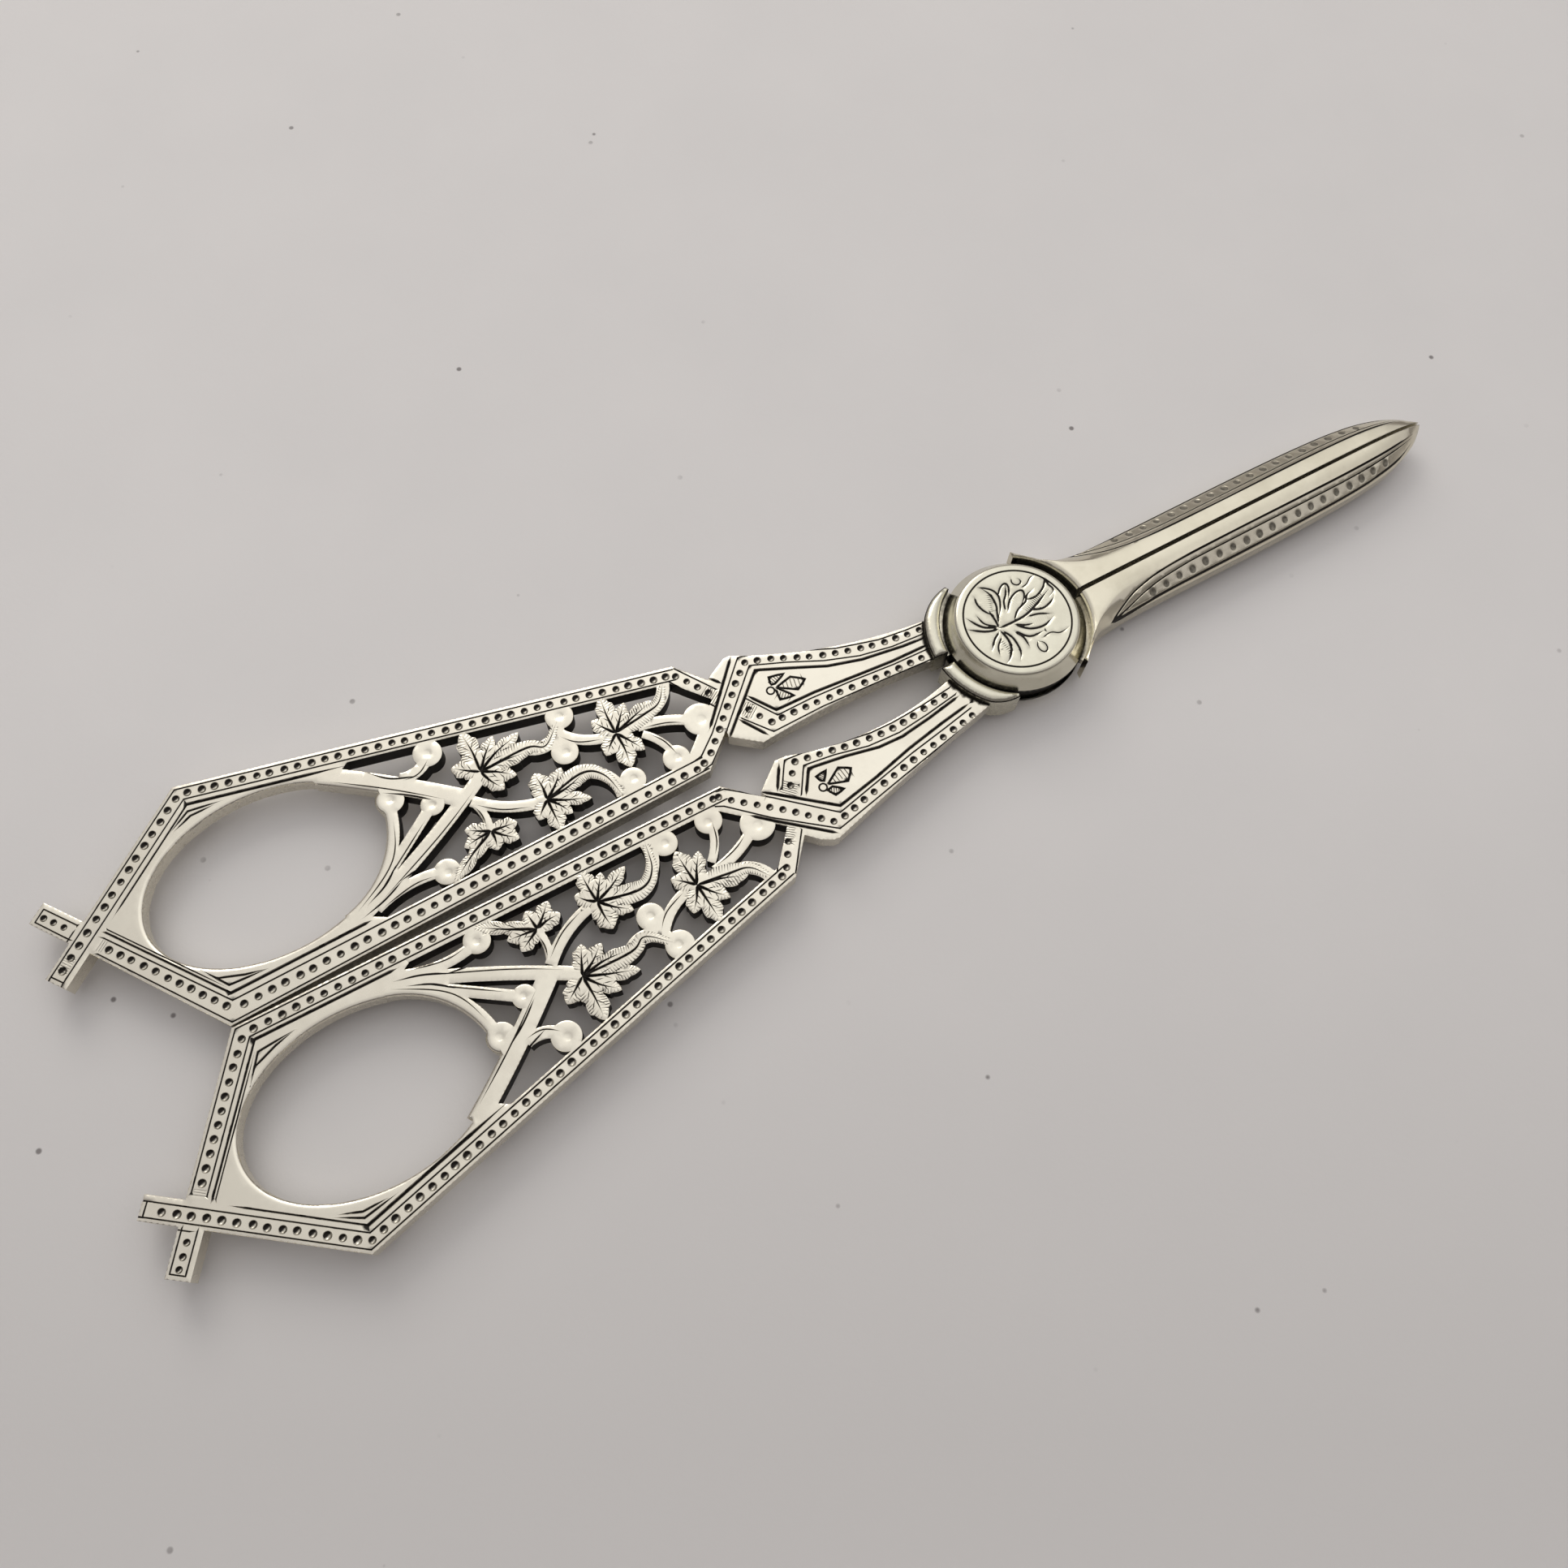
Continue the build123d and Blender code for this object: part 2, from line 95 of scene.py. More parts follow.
def curve(points, step=0.35):
    """Smooth line through a few points (Catmull-Rom)."""
    points = np.asarray(points, float)
    if len(points) < 3:
        return resampled(points, step)
    ends = np.vstack([2 * points[0] - points[1], points, 2 * points[-1] - points[-2]])
    made = [points[0]]
    for index in range(len(points) - 1):
        a, b, c, d = ends[index : index + 4]
        parts = max(2, int(np.ceil(np.hypot(*(c - b)) / step)))
        for part in range(1, parts + 1):
            t = part / parts
            made.append(
                0.5
                * (
                    2 * b
                    + (c - a) * t
                    + (2 * a - 5 * b + 4 * c - d) * t**2
                    + (3 * b - a - 3 * c + d) * t**3
                )
            )
    return np.array(made)


def lengths_along(line):
    """Length of a line from its start to each of its points."""
    return np.concatenate([[0], np.cumsum(np.hypot(*(line[1:] - line[:-1]).T))])


def directions(line):
    """Direction of a line at each of its points, and the direction to its left."""
    along = np.gradient(line, axis=0)
    along /= np.maximum(np.hypot(*along.T), 1e-9)[:, None]
    return along, np.column_stack([-along[:, 1], along[:, 0]])


# %% Strokes
STROKE_STEP = 0.8
DEPTH_SHARE = 0.4
THINNEST = 0.06


def stroke(points, width, depth=None, taper=(0.0, 0.0), smooth=False, dark=1.0):
    """A cut of V section. Each taper is the share of the length over which that end thins out."""
    line = curve(points) if smooth else resampled(points, STROKE_STEP)
    steps = np.hypot(*(line[1:] - line[:-1]).T)
    along = np.concatenate([[0], np.cumsum(steps)]) / max(steps.sum(), 1e-9)
    shape = np.ones(len(line))
    if taper[0]:
        shape = np.minimum(shape, along / taper[0])
    if taper[1]:
        shape = np.minimum(shape, (1 - along) / taper[1])
    shape = np.maximum(shape, THINNEST)
    if depth is None:
        depth = width * DEPTH_SHARE
    return {"line": line, "half": width / 2 * shape, "depth": depth * shape, "dark": dark}


def sides(cut):
    """Left and right edge of a stroke."""
    across = directions(cut["line"])[1] * cut["half"][:, None]
    return cut["line"] + across, cut["line"] - across


# %% [markdown]
# One function works out how deep and how dark the surface is at any place. Black oxide fills the
# bottom of a stroke. A punch mark gets oxide too, and painted shade on the side away from the
# light, so that it is darker on one side.

# %% Carving
CUT_OXIDE = 4
# How fast oxide fills a punch mark, and the painted shade across it: its share in the middle and
# how it grows towards the side away from the light
PIT_OXIDE, PIT_SHADE_MIDDLE, PIT_SHADE_SLOPE = 5, 0.45, 0.95
BOWL_FLATNESS = 1.25


def carve(places, strokes, pits, lean):
    """Change of height and darkness at each place. Punch marks get oxide, and painted shade on the
    side that lean points to, away from the light.
    """
    order = np.argsort(places[:, 1])
    sorted_places = places[order]
    ys = sorted_places[:, 1]
    change, dark = np.zeros(len(places)), np.zeros(len(places))
    for cut in strokes:
        line, half, depth = cut["line"], cut["half"], cut["depth"]
        for index in range(len(line) - 1):
            a, b = line[index], line[index + 1]
            reach = max(half[index], half[index + 1]) + 1e-6
            low, high = np.minimum(a, b) - reach, np.maximum(a, b) + reach
            first, last = np.searchsorted(ys, [low[1], high[1]])
            near = sorted_places[first:last]
            inside = (near[:, 0] > low[0]) & (near[:, 0] < high[0])
            if not inside.any():
                continue
            near = near[inside]
            run = b - a
            share = np.clip(((near - a) @ run) / max(run @ run, 1e-12), 0, 1)
            away = np.hypot(*(near - a - share[:, None] * run).T)
            local = half[index] + (half[index + 1] - half[index]) * share
            fall = np.clip(1 - away / np.maximum(local, 1e-6), 0, 1)
            cut_depth = (depth[index] + (depth[index + 1] - depth[index]) * share) * fall
            where = np.arange(first, last)[inside]
            change[where] = np.minimum(change[where], -cut_depth)
            held = np.clip(fall * CUT_OXIDE, 0, 1) * cut["dark"]
            dark[where] = np.maximum(dark[where], held)
    for x, y, radius, depth, darkness in pits:
        first, last = np.searchsorted(ys, [y - radius, y + radius])
        offset = (sorted_places[first:last] - (x, y)) / radius
        away = np.hypot(*offset.T)
        inside = away < 1
        where = np.arange(first, last)[inside]
        bowl = np.clip((1 - away[inside] ** 2) * BOWL_FLATNESS, 0, 1)
        change[where] = np.minimum(change[where], -depth * bowl)
        painted_pit_shade = np.clip(PIT_SHADE_MIDDLE + PIT_SHADE_SLOPE * (offset[inside] @ np.asarray(lean)), 0, 1)
        held = np.clip((1 - away[inside]) * PIT_OXIDE, 0, 1) * painted_pit_shade
        dark[where] = np.maximum(dark[where], held * darkness)
    result = np.zeros((2, len(places)))
    result[:, order] = change, dark
    return result


# %% [markdown]
# A relief is a mesh over a flat outline with holes. It could be a fine regular grid pushed down
# by the cuts, but a thin line would need millions of faces to stay crisp. Here the points are the
# outline, rings just inside the edge where the real one is worn round, the edges and bottoms of
# all cuts, and a loose grid between them, joined by a triangulation that keeps the cuts' edges.


# %% Outlines
def outline_samples(loops, step):
    """Points and inward directions along all outlines; material lies to the left of each."""
    spots, inwards = [], []
    for loop in loops:
        closed = np.vstack([loop, loop[:1]])
        for a, b in zip(closed, closed[1:]):
            length = np.hypot(*(b - a))
            if length < 1e-6:
                continue
            unit = (b - a) / length
            count = max(1, int(length / step))
            for part in range(count):
                spots.append(a + (b - a) * (part + 0.5) / count)
                inwards.append((-unit[1], unit[0]))
    return np.array(spots), np.array(inwards)


def tree_of(spots):
    tree = kdtree.KDTree(len(spots))
    for index, (x, y) in enumerate(spots):
        tree.insert((x, y, 0), index)
    tree.balance()
    return tree


def distances(tree, spots):
    return np.array([tree.find((x, y, 0))[2] for x, y in spots])


def inside_loops(places, loops):
    """Which places lie in the material: each edge to the right of a place flips it."""
    order = np.argsort(places[:, 1])
    ordered = places[order]
    flips = np.zeros(len(places), bool)
    for loop in loops:
        for a, b in zip(loop, np.roll(loop, -1, axis=0)):
            first, last = np.searchsorted(ordered[:, 1], sorted((a[1], b[1])))
            near = ordered[first:last]
            if len(near):
                crossing = a[0] + (near[:, 1] - a[1]) / (b[1] - a[1]) * (b[0] - a[0])
                flips[first:last] ^= near[:, 0] < crossing
    inside = np.zeros(len(places), bool)
    inside[order] = flips
    return inside


def loop_area(loop):
    xs, ys = loop.T
    return abs(np.sum(xs * np.roll(ys, -1) - ys * np.roll(xs, -1))) / 2


def rims_of(flat, triangles):
    """Closed rims of the triangles, the largest first, with the material to the left."""
    directed = {(f[i], f[(i + 1) % len(f)]) for f in triangles for i in range(len(f))}
    follows = {}
    for a, b in directed:
        if (b, a) not in directed:
            follows.setdefault(a, []).append(b)
    rims = []
    while follows:
        start = min(follows)
        rim, here = [], start
        while not rim or here != start:
            rim.append(here)
            following = follows[here].pop()
            if not follows[here]:
                del follows[here]
            here = following
        rims.append(rim)
    return sorted(rims, key=lambda rim: loop_area(flat[rim]), reverse=True)


# %% Surfaces
# Steps along an outline: its own points, samples to measure from, and points of the worn rings
OUTLINE_STEP, SAMPLE_STEP, RING_STEP = 0.7, 0.06, 0.4
# Worn rings as shares of the rounding, and rings of a punch mark with their number of points
WORN_RINGS = (0.12, 0.4, 1.0)
PIT_RINGS = ((1.0, 14), (0.75, 12), (0.45, 8))
# How clear of everything else a point of the loose grid stays, and points that count as one
GRID_CLEARANCE, MERGED = 0.4, 1e-5


def relief_surface(loops, strokes, pits, rounding, grid, guides, added):
    """Flat triangulated points with their distance from the edge, and the rims' indices.

    The added outlines are joined to the material of the others.
    """
    loops = [resampled(np.vstack([loop, loop[:1]]), OUTLINE_STEP)[:-1] for loop in loops]
    points, edges = [], []
    for loop in [*loops, *added]:
        first = len(points)
        points.extend(loop)
        edges.extend((first + i, first + (i + 1) % len(loop)) for i in range(len(loop)))
    edge_tree = tree_of(outline_samples(loops, SAMPLE_STEP)[0])
    ring_spots, ring_inwards = outline_samples([*loops, *added], RING_STEP)
    for share in WORN_RINGS:
        inset = rounding * share
        moved = ring_spots + ring_inwards * inset
        points.extend(moved[distances(edge_tree, moved) > inset * 0.9])
    lines = list(guides)
    for cut in strokes:
        lines.extend((cut["line"], *sides(cut)))
    for line in lines:
        first = len(points)
        points.extend(line)
        edges.extend((first + i, first + i + 1) for i in range(len(line) - 1))
    for x, y, radius, *_ in pits:
        for share, count in PIT_RINGS:
            first = len(points)
            for index in range(count):
                turn = 2 * pi * index / count
                points.append((x + radius * share * cos(turn), y + radius * share * sin(turn)))
            edges.extend((first + i, first + (i + 1) % count) for i in range(count))
        points.append((x, y))
    points = np.array(points)
    low, high = points.min(0), points.max(0)
    lattice = np.array([
        (x + (grid / 2 if row % 2 else 0), y)
        for row, y in enumerate(np.arange(low[1] + grid / 2, high[1], grid))
        for x in np.arange(low[0] + grid / 2, high[0], grid)
    ])
    clear = distances(tree_of(points), lattice) > grid * GRID_CLEARANCE
    points = np.vstack([points, lattice[clear]])
    made = delaunay_2d_cdt([Vector(p) for p in points], edges, [], 0, MERGED)
    flat = np.array([tuple(v) for v in made[0]])
    centres = np.array([flat[list(f)].mean(0) for f in made[2]])
    wanted = inside_loops(centres, loops)
    for loop in added:
        wanted |= inside_loops(centres, [loop])
    triangles = [f for f, keep in zip(made[2], wanted) if keep]
    used = sorted({i for f in triangles for i in f})
    new_index = {old: new for new, old in enumerate(used)}
    flat = flat[used]
    triangles = [tuple(new_index[i] for i in f) for f in triangles]
    rims = rims_of(flat, triangles)
    away = distances(tree_of(outline_samples([flat[rim] for rim in rims], SAMPLE_STEP)[0]), flat)
    return flat, triangles, rims, away


def worn_edge(away, rounding):
    """Drop of the surface beside an edge that wear has rounded."""
    inside = np.clip(rounding - away, 0, rounding)
    return -(rounding - np.sqrt(rounding**2 - inside**2))


def relief(loops, rounding, grid, height, strokes=(), pits=(), guides=(), lean=(0.0, 0.0),
           added=()):
    """Surface points with heights above their base and the darkness of each."""
    flat, triangles, rims, away = relief_surface(
        loops, strokes, pits, rounding, grid, guides, added
    )
    change, dark = carve(flat, strokes, pits, lean)
    return {
        "flat": flat, "faces": triangles, "rims": rims, "away": away,
        "z": height(flat, away) + change, "dark": dark,
    }


# %% [markdown]
# A relief becomes a piece when walls are dropped from its rims to the middle of the plate, and the
# back is the same upside down. The darkness, both the oxide and the painted shade, rides on the
# mesh as one number per point, so the material needs no image and the cuts stay black from every
# side.


# %% Shells and pieces
def shell(surface, top, floor, mirrored=False, closed=False, wall_dark=(0.3,), floor_dark=0.95):
    """Vertices, faces and darkness of a relief with walls down to a floor; or upside down.

    The walls' darkness is given for each outline in turn, and the last for all that follow.
    It is a number or worked out from the place.
    """
    flat, z = surface["flat"], surface["z"]
    count = len(flat)
    heights = (top - z) if mirrored else (top + z)
    verts = [np.column_stack([flat, heights])]
    faces = [tuple(f) for f in surface["faces"]]
    dark = [surface["dark"]]
    for index, rim in enumerate(surface["rims"]):
        n = len(rim)
        darkness = wall_dark[min(index, len(wall_dark) - 1)]
        if callable(darkness):
            darkness = np.tile(darkness(flat[rim]), 2)
        verts.append(np.column_stack([flat[rim], heights[rim]]))
        verts.append(np.column_stack([flat[rim], np.full(n, floor)]))
        dark.append(np.ones(2 * n) * darkness)
        for i in range(n):
            j = (i + 1) % n
            faces.append((count + j, count + i, count + n + i, count + n + j))
        count += 2 * n
    if closed:
        verts.append(np.column_stack([flat, np.full(len(flat), floor)]))
        dark.append(np.full(len(flat), floor_dark))
        faces.extend(tuple(count + i for i in f[::-1]) for f in surface["faces"])
    if mirrored:
        faces = [f[::-1] for f in faces]
    return np.vstack(verts), faces, np.concatenate(dark)


def copied_faces(node, wanted):
    """Points and faces of a CAD node, for the faces whose corners all pass a test."""
    mesh = nodes[node].data
    corners = np.array([vertex.co for vertex in mesh.vertices]) / MM
    index_of, verts, faces = {}, [], []
    for polygon in mesh.polygons:
        ring = corners[list(polygon.vertices)]
        if wanted(ring):
            face = []
            for x, y, z in ring.round(4):
                if (x, y, z) not in index_of:
                    index_of[(x, y, z)] = len(verts)
                    verts.append((x, y, z))
                face.append(index_of[(x, y, z)])
            if len(set(face)) == len(face):
                faces.append(tuple(face))
    return np.array(verts), faces


def make_piece(name, parts, body, replaces, material, flip=False, sharp=32):
    """One mesh object from shells in millimetres, riding on its body in place of a CAD node."""
    verts, faces, dark = [], [], []
    count = 0
    for part_verts, part_faces, part_dark in parts:
        verts.append(part_verts)
        dark.append(part_dark)
        faces.extend(tuple(count + i for i in f) for f in part_faces)
        count += len(part_verts)
    verts = np.vstack(verts)
    if flip:
        verts = verts * (-1, 1, 1)
        faces = [f[::-1] for f in faces]
    mesh = bpy.data.meshes.new(name)
    mesh.from_pydata((verts * MM).tolist(), [], faces)
    mesh.update()
    mesh.shade_smooth()
    mesh.set_sharp_from_angle(angle=radians(sharp))
    layer = mesh.attributes.new("tarnish_and_shade", "FLOAT", "POINT")
    layer.data.foreach_set("value", np.concatenate(dark).astype(np.float32))
    mesh.materials.append(material)
    piece = bpy.data.objects.new(name, mesh)
    bpy.context.scene.collection.objects.link(piece)
    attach(piece, body)
    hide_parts(replaces)
    print("made", name, len(verts), "points", len(faces), "faces")


# %% [markdown]
# The metal is old sterling silver that has been handled and polished for a century: a warm pale
# colour, fine hairline scratches in all directions, a faint cloudy patina, and black oxide in the
# cuts. The same black also serves as painted shade in the pierced walls, round the joint and along
# the seam. One photographed metal texture would show the same scratches everywhere. Noise stretched
# three ways gives hairlines that never repeat, and the number carried by each point says where the
# oxide and the painted shade lie.


# %% Shader helpers
def set_inputs(node, inputs):
    """Fill a node's inputs: another node's output is linked, and anything else is a value."""
    for name, value in inputs.items():
        if isinstance(value, bpy.types.NodeSocket):
            node.id_data.links.new(value, node.inputs[name])
        else:
            node.inputs[name].default_value = value


def add_node(tree, kind, output, inputs=None, **settings):
    """Output of a new shader node with its settings and inputs."""
    made = tree.nodes.new("ShaderNode" + kind)
    for name, value in settings.items():
        setattr(made, name, value)
    set_inputs(made, inputs or {})
    return made.outputs[output]


def node_material(name):
    material = bpy.data.materials.new(name)
    material.use_nodes = True
    return material, material.node_tree


# %% Silver
# Black of the oxide in the cuts, also used for painted shade
OXIDE_AND_SHADE_BLACK = (0.03, 0.027, 0.024, 1)
# Turn of each set of hairlines in degrees, and its scale
HAIRLINES = ((20, 1980.0), (75, 2640.0), (140, 1540.0))
DENT_DEPTH = 0.05


def silver(name, colour, patina, gloss, scratch_depth):
    """Worn silver with black oxide in its cuts, and the same black for painted shade."""
    material, tree = node_material(name)
    tree.nodes.clear()
    place = add_node(tree, "TexCoord", "Object")

    clouds = add_node(tree, "TexNoise", "Fac", {
        "Vector": place, "Scale": 160.0, "Detail": 6.0, "Roughness": 0.62,
    })
    cloud_share = add_node(tree, "MapRange", "Result", {
        "Value": clouds, "From Min": 0.42, "From Max": 0.72,
    })
    body_colour = add_node(tree, "Mix", "Result", {
        "Factor": cloud_share, "A": (*colour, 1), "B": (*patina, 1),
    }, data_type="RGBA")

    specks = add_node(tree, "TexNoise", "Fac", {"Vector": place, "Scale": 2600.0, "Detail": 3.0})
    uneven = add_node(tree, "Math", "Value", {0: specks, 1: 0.3, 2: -0.15},
                      operation="MULTIPLY_ADD")
    tarnish_and_shade = add_node(tree, "Attribute", "Fac", attribute_name="tarnish_and_shade")
    oxide_and_shade = add_node(tree, "Math", "Value", {0: tarnish_and_shade, 1: uneven}, operation="ADD")
    oxide_and_shade_share = add_node(tree, "MapRange", "Result", {
        "Value": oxide_and_shade, "From Min": 0.1, "From Max": 0.5,
    })
    final_colour = add_node(tree, "Mix", "Result", {
        "Factor": oxide_and_shade_share, "A": body_colour, "B": OXIDE_AND_SHADE_BLACK,
    }, data_type="RGBA")

    polish = add_node(tree, "MapRange", "Result", {
        "Value": clouds, "From Min": 0.3, "From Max": 0.75, "To Min": gloss, "To Max": gloss + 0.14,
    })
    rough = add_node(tree, "Math", "Value", {0: oxide_and_shade_share, 1: 0.3, 2: polish},
                     operation="MULTIPLY_ADD")

    hairs = []
    for turn, scale in HAIRLINES:
        stretched = add_node(tree, "Mapping", "Vector", {
            "Vector": place, "Rotation": (0, 0, radians(turn)), "Scale": (1, 0.03, 1),
        })
        hairs.append(add_node(tree, "TexNoise", "Fac", {
            "Vector": stretched, "Scale": scale, "Detail": 2.0,
        }))
    height = hairs[0]
    for hair in hairs[1:]:
        height = add_node(tree, "Math", "Value", {0: height, 1: hair}, operation="ADD")
    scratches = add_node(tree, "Bump", "Normal", {
        "Strength": 0.35, "Distance": scratch_depth * MM, "Height": height,
    })
    waves = add_node(tree, "TexNoise", "Fac", {"Vector": place, "Scale": 420.0, "Detail": 2.0})
    dents = add_node(tree, "Bump", "Normal", {
        "Strength": 0.5, "Distance": DENT_DEPTH * MM, "Height": waves, "Normal": scratches,
    })

    shader = tree.nodes.new("ShaderNodeBsdfPrincipled")
    set_inputs(shader, {
        "Metallic": 1.0, "Base Color": final_colour, "Roughness": rough, "Normal": dents,
    })
    set_inputs(tree.nodes.new("ShaderNodeOutputMaterial"), {"Surface": shader.outputs["BSDF"]})
    return material


# The blade and the joint get darker copies of the handle's silver, as painted shade, because they
# mirror a brighter part of the sky
handle_silver = silver("handle_silver", (0.79, 0.748, 0.64), (0.71, 0.665, 0.565), 0.2, 0.010)
blade_silver = silver("blade_silver", (0.70, 0.655, 0.53), (0.62, 0.575, 0.455), 0.15, 0.008)
joint_silver = silver("joint_silver", (0.69, 0.665, 0.55), (0.61, 0.58, 0.475), 0.17, 0.01)
screw_silver = silver("screw_silver", (0.66, 0.63, 0.56), (0.52, 0.49, 0.43), 0.3, 0.012)
print("finishes:", [material.name for material in bpy.data.materials])

# %% [markdown]
# The handles' outlines, with all their piercings, come from the level top faces of the CAD
# plates, so a piercing can never drift from the solid. Engraving is laid out on the plan that was
# measured from the real pair: x runs along the shears towards the points, y outwards from the
# seam, and both in millimetres. The plan's origin lies a little beyond the joint's axis.

# %% From plan to part
PLAN_SHIFT = 0.9


def to_part(points):
    """Plan places (along, outwards) as places on the right half (across, along)."""
    points = np.asarray(points, float)
    return np.column_stack([points[:, 1], pivot_y + points[:, 0] + PLAN_SHIFT])


def level_loops(node, height, mirrored):
    """Outlines of a CAD node's level face, in millimetres, with the material to the left."""
    mesh = nodes[node].data
    corners = [tuple(round(c / MM, 4) for c in vertex.co) for vertex in mesh.vertices]
    follows = {}
    directed = set()
    for polygon in mesh.polygons:
        ring = [corners[i] for i in polygon.vertices]
        if polygon.normal.z > 0.9 and all(abs(p[2] - height) < 0.01 for p in ring):
            flat = [p[:2] for p in ring]
            directed.update(zip(flat, flat[1:] + flat[:1]))
    for a, b in directed:
        if (b, a) not in directed:
            follows[a] = b
    loops = []
    while follows:
        start, here = next(iter(follows.items()))
        loop = [start]
        del follows[start]
        while here != start:
            loop.append(here)
            here = follows.pop(here)
        loops.append(np.array(loop))
    if mirrored:
        loops = [loop[::-1] * (-1, 1) for loop in loops]
    return sorted(loops, key=loop_area, reverse=True)


def beside(points, distances_in):
    """Line to the left of each leg by its own distance, its corners mitred."""
    points = np.asarray(points, float)
    legs = []
    for a, b, distance in zip(points, points[1:], distances_in):
        unit = (b - a) / np.hypot(*(b - a))
        legs.append((a + np.array([-unit[1], unit[0]]) * distance, unit))
    made = [legs[0][0]]
    for (p, u), (q, w) in zip(legs, legs[1:]):
        cross = u[0] * w[1] - u[1] * w[0]
        made.append(p + u * ((q - p)[0] * w[1] - (q - p)[1] * w[0]) / cross)
    end, unit = legs[-1]
    made.append(end + unit * np.hypot(*(points[-1] - points[-2])))
    return np.array(made)


# How far a punched dot strays, how much its size and pitch vary, its depth and its darkness
DOT_STRAY = 0.035
DOT_SIZES, DOT_PITCHES = (0.95, 1.12), (0.96, 1.04)
DOT_DEPTH, DOT_DARK = 0.2, 0.95


def dots_along(line, pitch, radius, random, start, end):
    """Punched dots along a line, spaced and struck by hand."""
    line = resampled(line, 0.05)
    lengths = lengths_along(line)
    made = []
    place = start
    while place < lengths[-1] - end:
        x, y = (np.interp(place, lengths, line[:, axis]) for axis in (0, 1))
        x, y = x + random.normal(0, DOT_STRAY), y + random.normal(0, DOT_STRAY)
        made.append((x, y, radius * random.uniform(*DOT_SIZES), DOT_DEPTH, DOT_DARK))
        place += pitch * random.uniform(*DOT_PITCHES)
    return made


# %% [markdown]
# The vine is a stem with curling tails, leaves with a deep vein and a comb of short fine cuts
# along each edge, and dished berries. It repeats the CAD part's own places: leaf stalks with
# their lobes, stems and berries, as shares of the handle's reach and of half the width over both
# handles. Three tails are broader than the solid's stems, so their outlines are added to it.

# %% Vine tables
HALF_WIDTH = 28.1
HANDLE_REACH = 113.1
LEAF_LENGTH = 4.8
STEM_WIDTH = 2.1
BERRY_RADIUS = 1.75
VINE_SHIFT = {"right": (-0.006, 0.002), "left": (0.006, -0.002)}
leaves = [
    ((0.475, 0.560), [(89, 1.14, 0.56), (145, 0.70, 0.48), (48, 0.94, 0.40), (22, 1.30, 0.42),
                      (-3, 1.22, 0.40), (-34, 0.86, 0.42), (-66, 0.74, 0.46)]),
    ((0.238, 0.515), [(-92, 0.84, 0.48), (-137, 0.54, 0.42), (-57, 0.70, 0.36), (-26, 1.04, 0.36),
                      (10, 1.17, 0.42), (42, 0.86, 0.40), (88, 0.74, 0.56)]),
    ((0.224, 0.577), [(-150, 1.48, 0.32), (-174, 0.72, 0.38), (150, 0.62, 0.40),
                      (-44, 0.68, 0.42), (-8, 0.62, 0.42), (-97, 0.50, 0.40)]),
    ((0.365, 0.423), [(86, 1.04, 0.50), (124, 0.68, 0.46), (50, 0.82, 0.38), (17, 1.20, 0.44),
                      (-60, 0.82, 0.40), (-94, 0.96, 0.52), (-138, 0.62, 0.46)]),
]
stems = [
    ((0.775, 0.704), (0.591, 0.642), (0.406, 0.587), 1.04),
    ((0.150, 0.716), (0.324, 0.621), (0.473, 0.556), 0.76),
    ((0.377, 0.581), (0.294, 0.556), (0.242, 0.524), 0.64),
    ((0.356, 0.579), (0.302, 0.576), (0.235, 0.577), 0.43),
    ((0.199, 0.703), (0.318, 0.660), (0.434, 0.618), 0.62),
    ((0.157, 0.734), (0.306, 0.676), (0.520, 0.654), 0.70),
    ((0.144, 0.706), (0.178, 0.664), (0.160, 0.633), 0.60),
    ((0.601, 0.633), (0.598, 0.615), (0.648, 0.598), 0.66),
    ((0.473, 0.473), (0.413, 0.459), (0.366, 0.429), 0.62),
    ((0.349, 0.401), (0.318, 0.372), (0.267, 0.349), 0.62),
    ((0.153, 0.381), (0.240, 0.387), (0.310, 0.400), 0.47),
    ((0.480, 0.509), (0.452, 0.491), (0.524, 0.470), 0.76),
    ((0.274, 0.473), (0.224, 0.454), (0.108, 0.447), 0.71),
    ((0.384, 0.390), (0.402, 0.370), (0.473, 0.356), 0.71),
]
berries = [
    ((0.537, 0.651), 0.94), ((0.438, 0.616), 0.76), ((0.154, 0.632), 0.86),
    ((0.651, 0.598), 0.95), ((0.544, 0.465), 0.93), ((0.391, 0.477), 0.89),
    ((0.150, 0.431), 0.86), ((0.150, 0.382), 0.90), ((0.256, 0.341), 1.14),
]
# Which leaf ends in which stem as a curled tail
TAILS = [(0, 11), (1, 12), (3, 13)]
print("vine:", len(leaves), "leaves,", len(stems), "stems,", len(berries), "berries a handle")


# %% Leaves
def vine_spot(shares, shift):
    """Place on the right half (across, along) from shares of the half width and the reach."""
    return np.array([
        (shares[0] + shift[0]) * HALF_WIDTH,
        pivot_y - (shares[1] + shift[1]) * HANDLE_REACH,
    ])


def heading_axes(heading):
    """Directions out along a lobe and across it, from its heading in degrees."""
    out = np.array([sin(radians(heading)), cos(radians(heading))])
    return out, np.array([out[1], -out[0]])


def lobe_reach(share):
    """Half width of a lobe at a share of its length, as a share of its width."""
    return np.interp(share, (0, 0.44, 0.5, 0.76, 0.81, 1.0), (0.22, 0.5, 0.42, 0.44, 0.34, 0.0))


def within_lobe(spot, stalk, heading, length, width):
    """Whether a place lies well inside a lobe."""
    out, across = heading_axes(heading)
    along = (spot - stalk) @ out / length
    aside = abs((spot - stalk) @ across) / width
    return 0.0 < along < 0.97 and aside < 0.85 * lobe_reach(along)


# Pitch of the fine comb along the leaves' edges, and how far inside the edge it starts
COMB_PITCH, COMB_START = 0.31, 0.06


def comb_cut(edge, inner):
    """One fine cut of the comb, from just inside the edge inwards."""
    run = inner - edge
    start = edge + run * min(COMB_START / np.hypot(*run), 0.3)
    return stroke([start, inner], 0.175, depth=0.03, taper=(0.0, 0.25), dark=0.5)


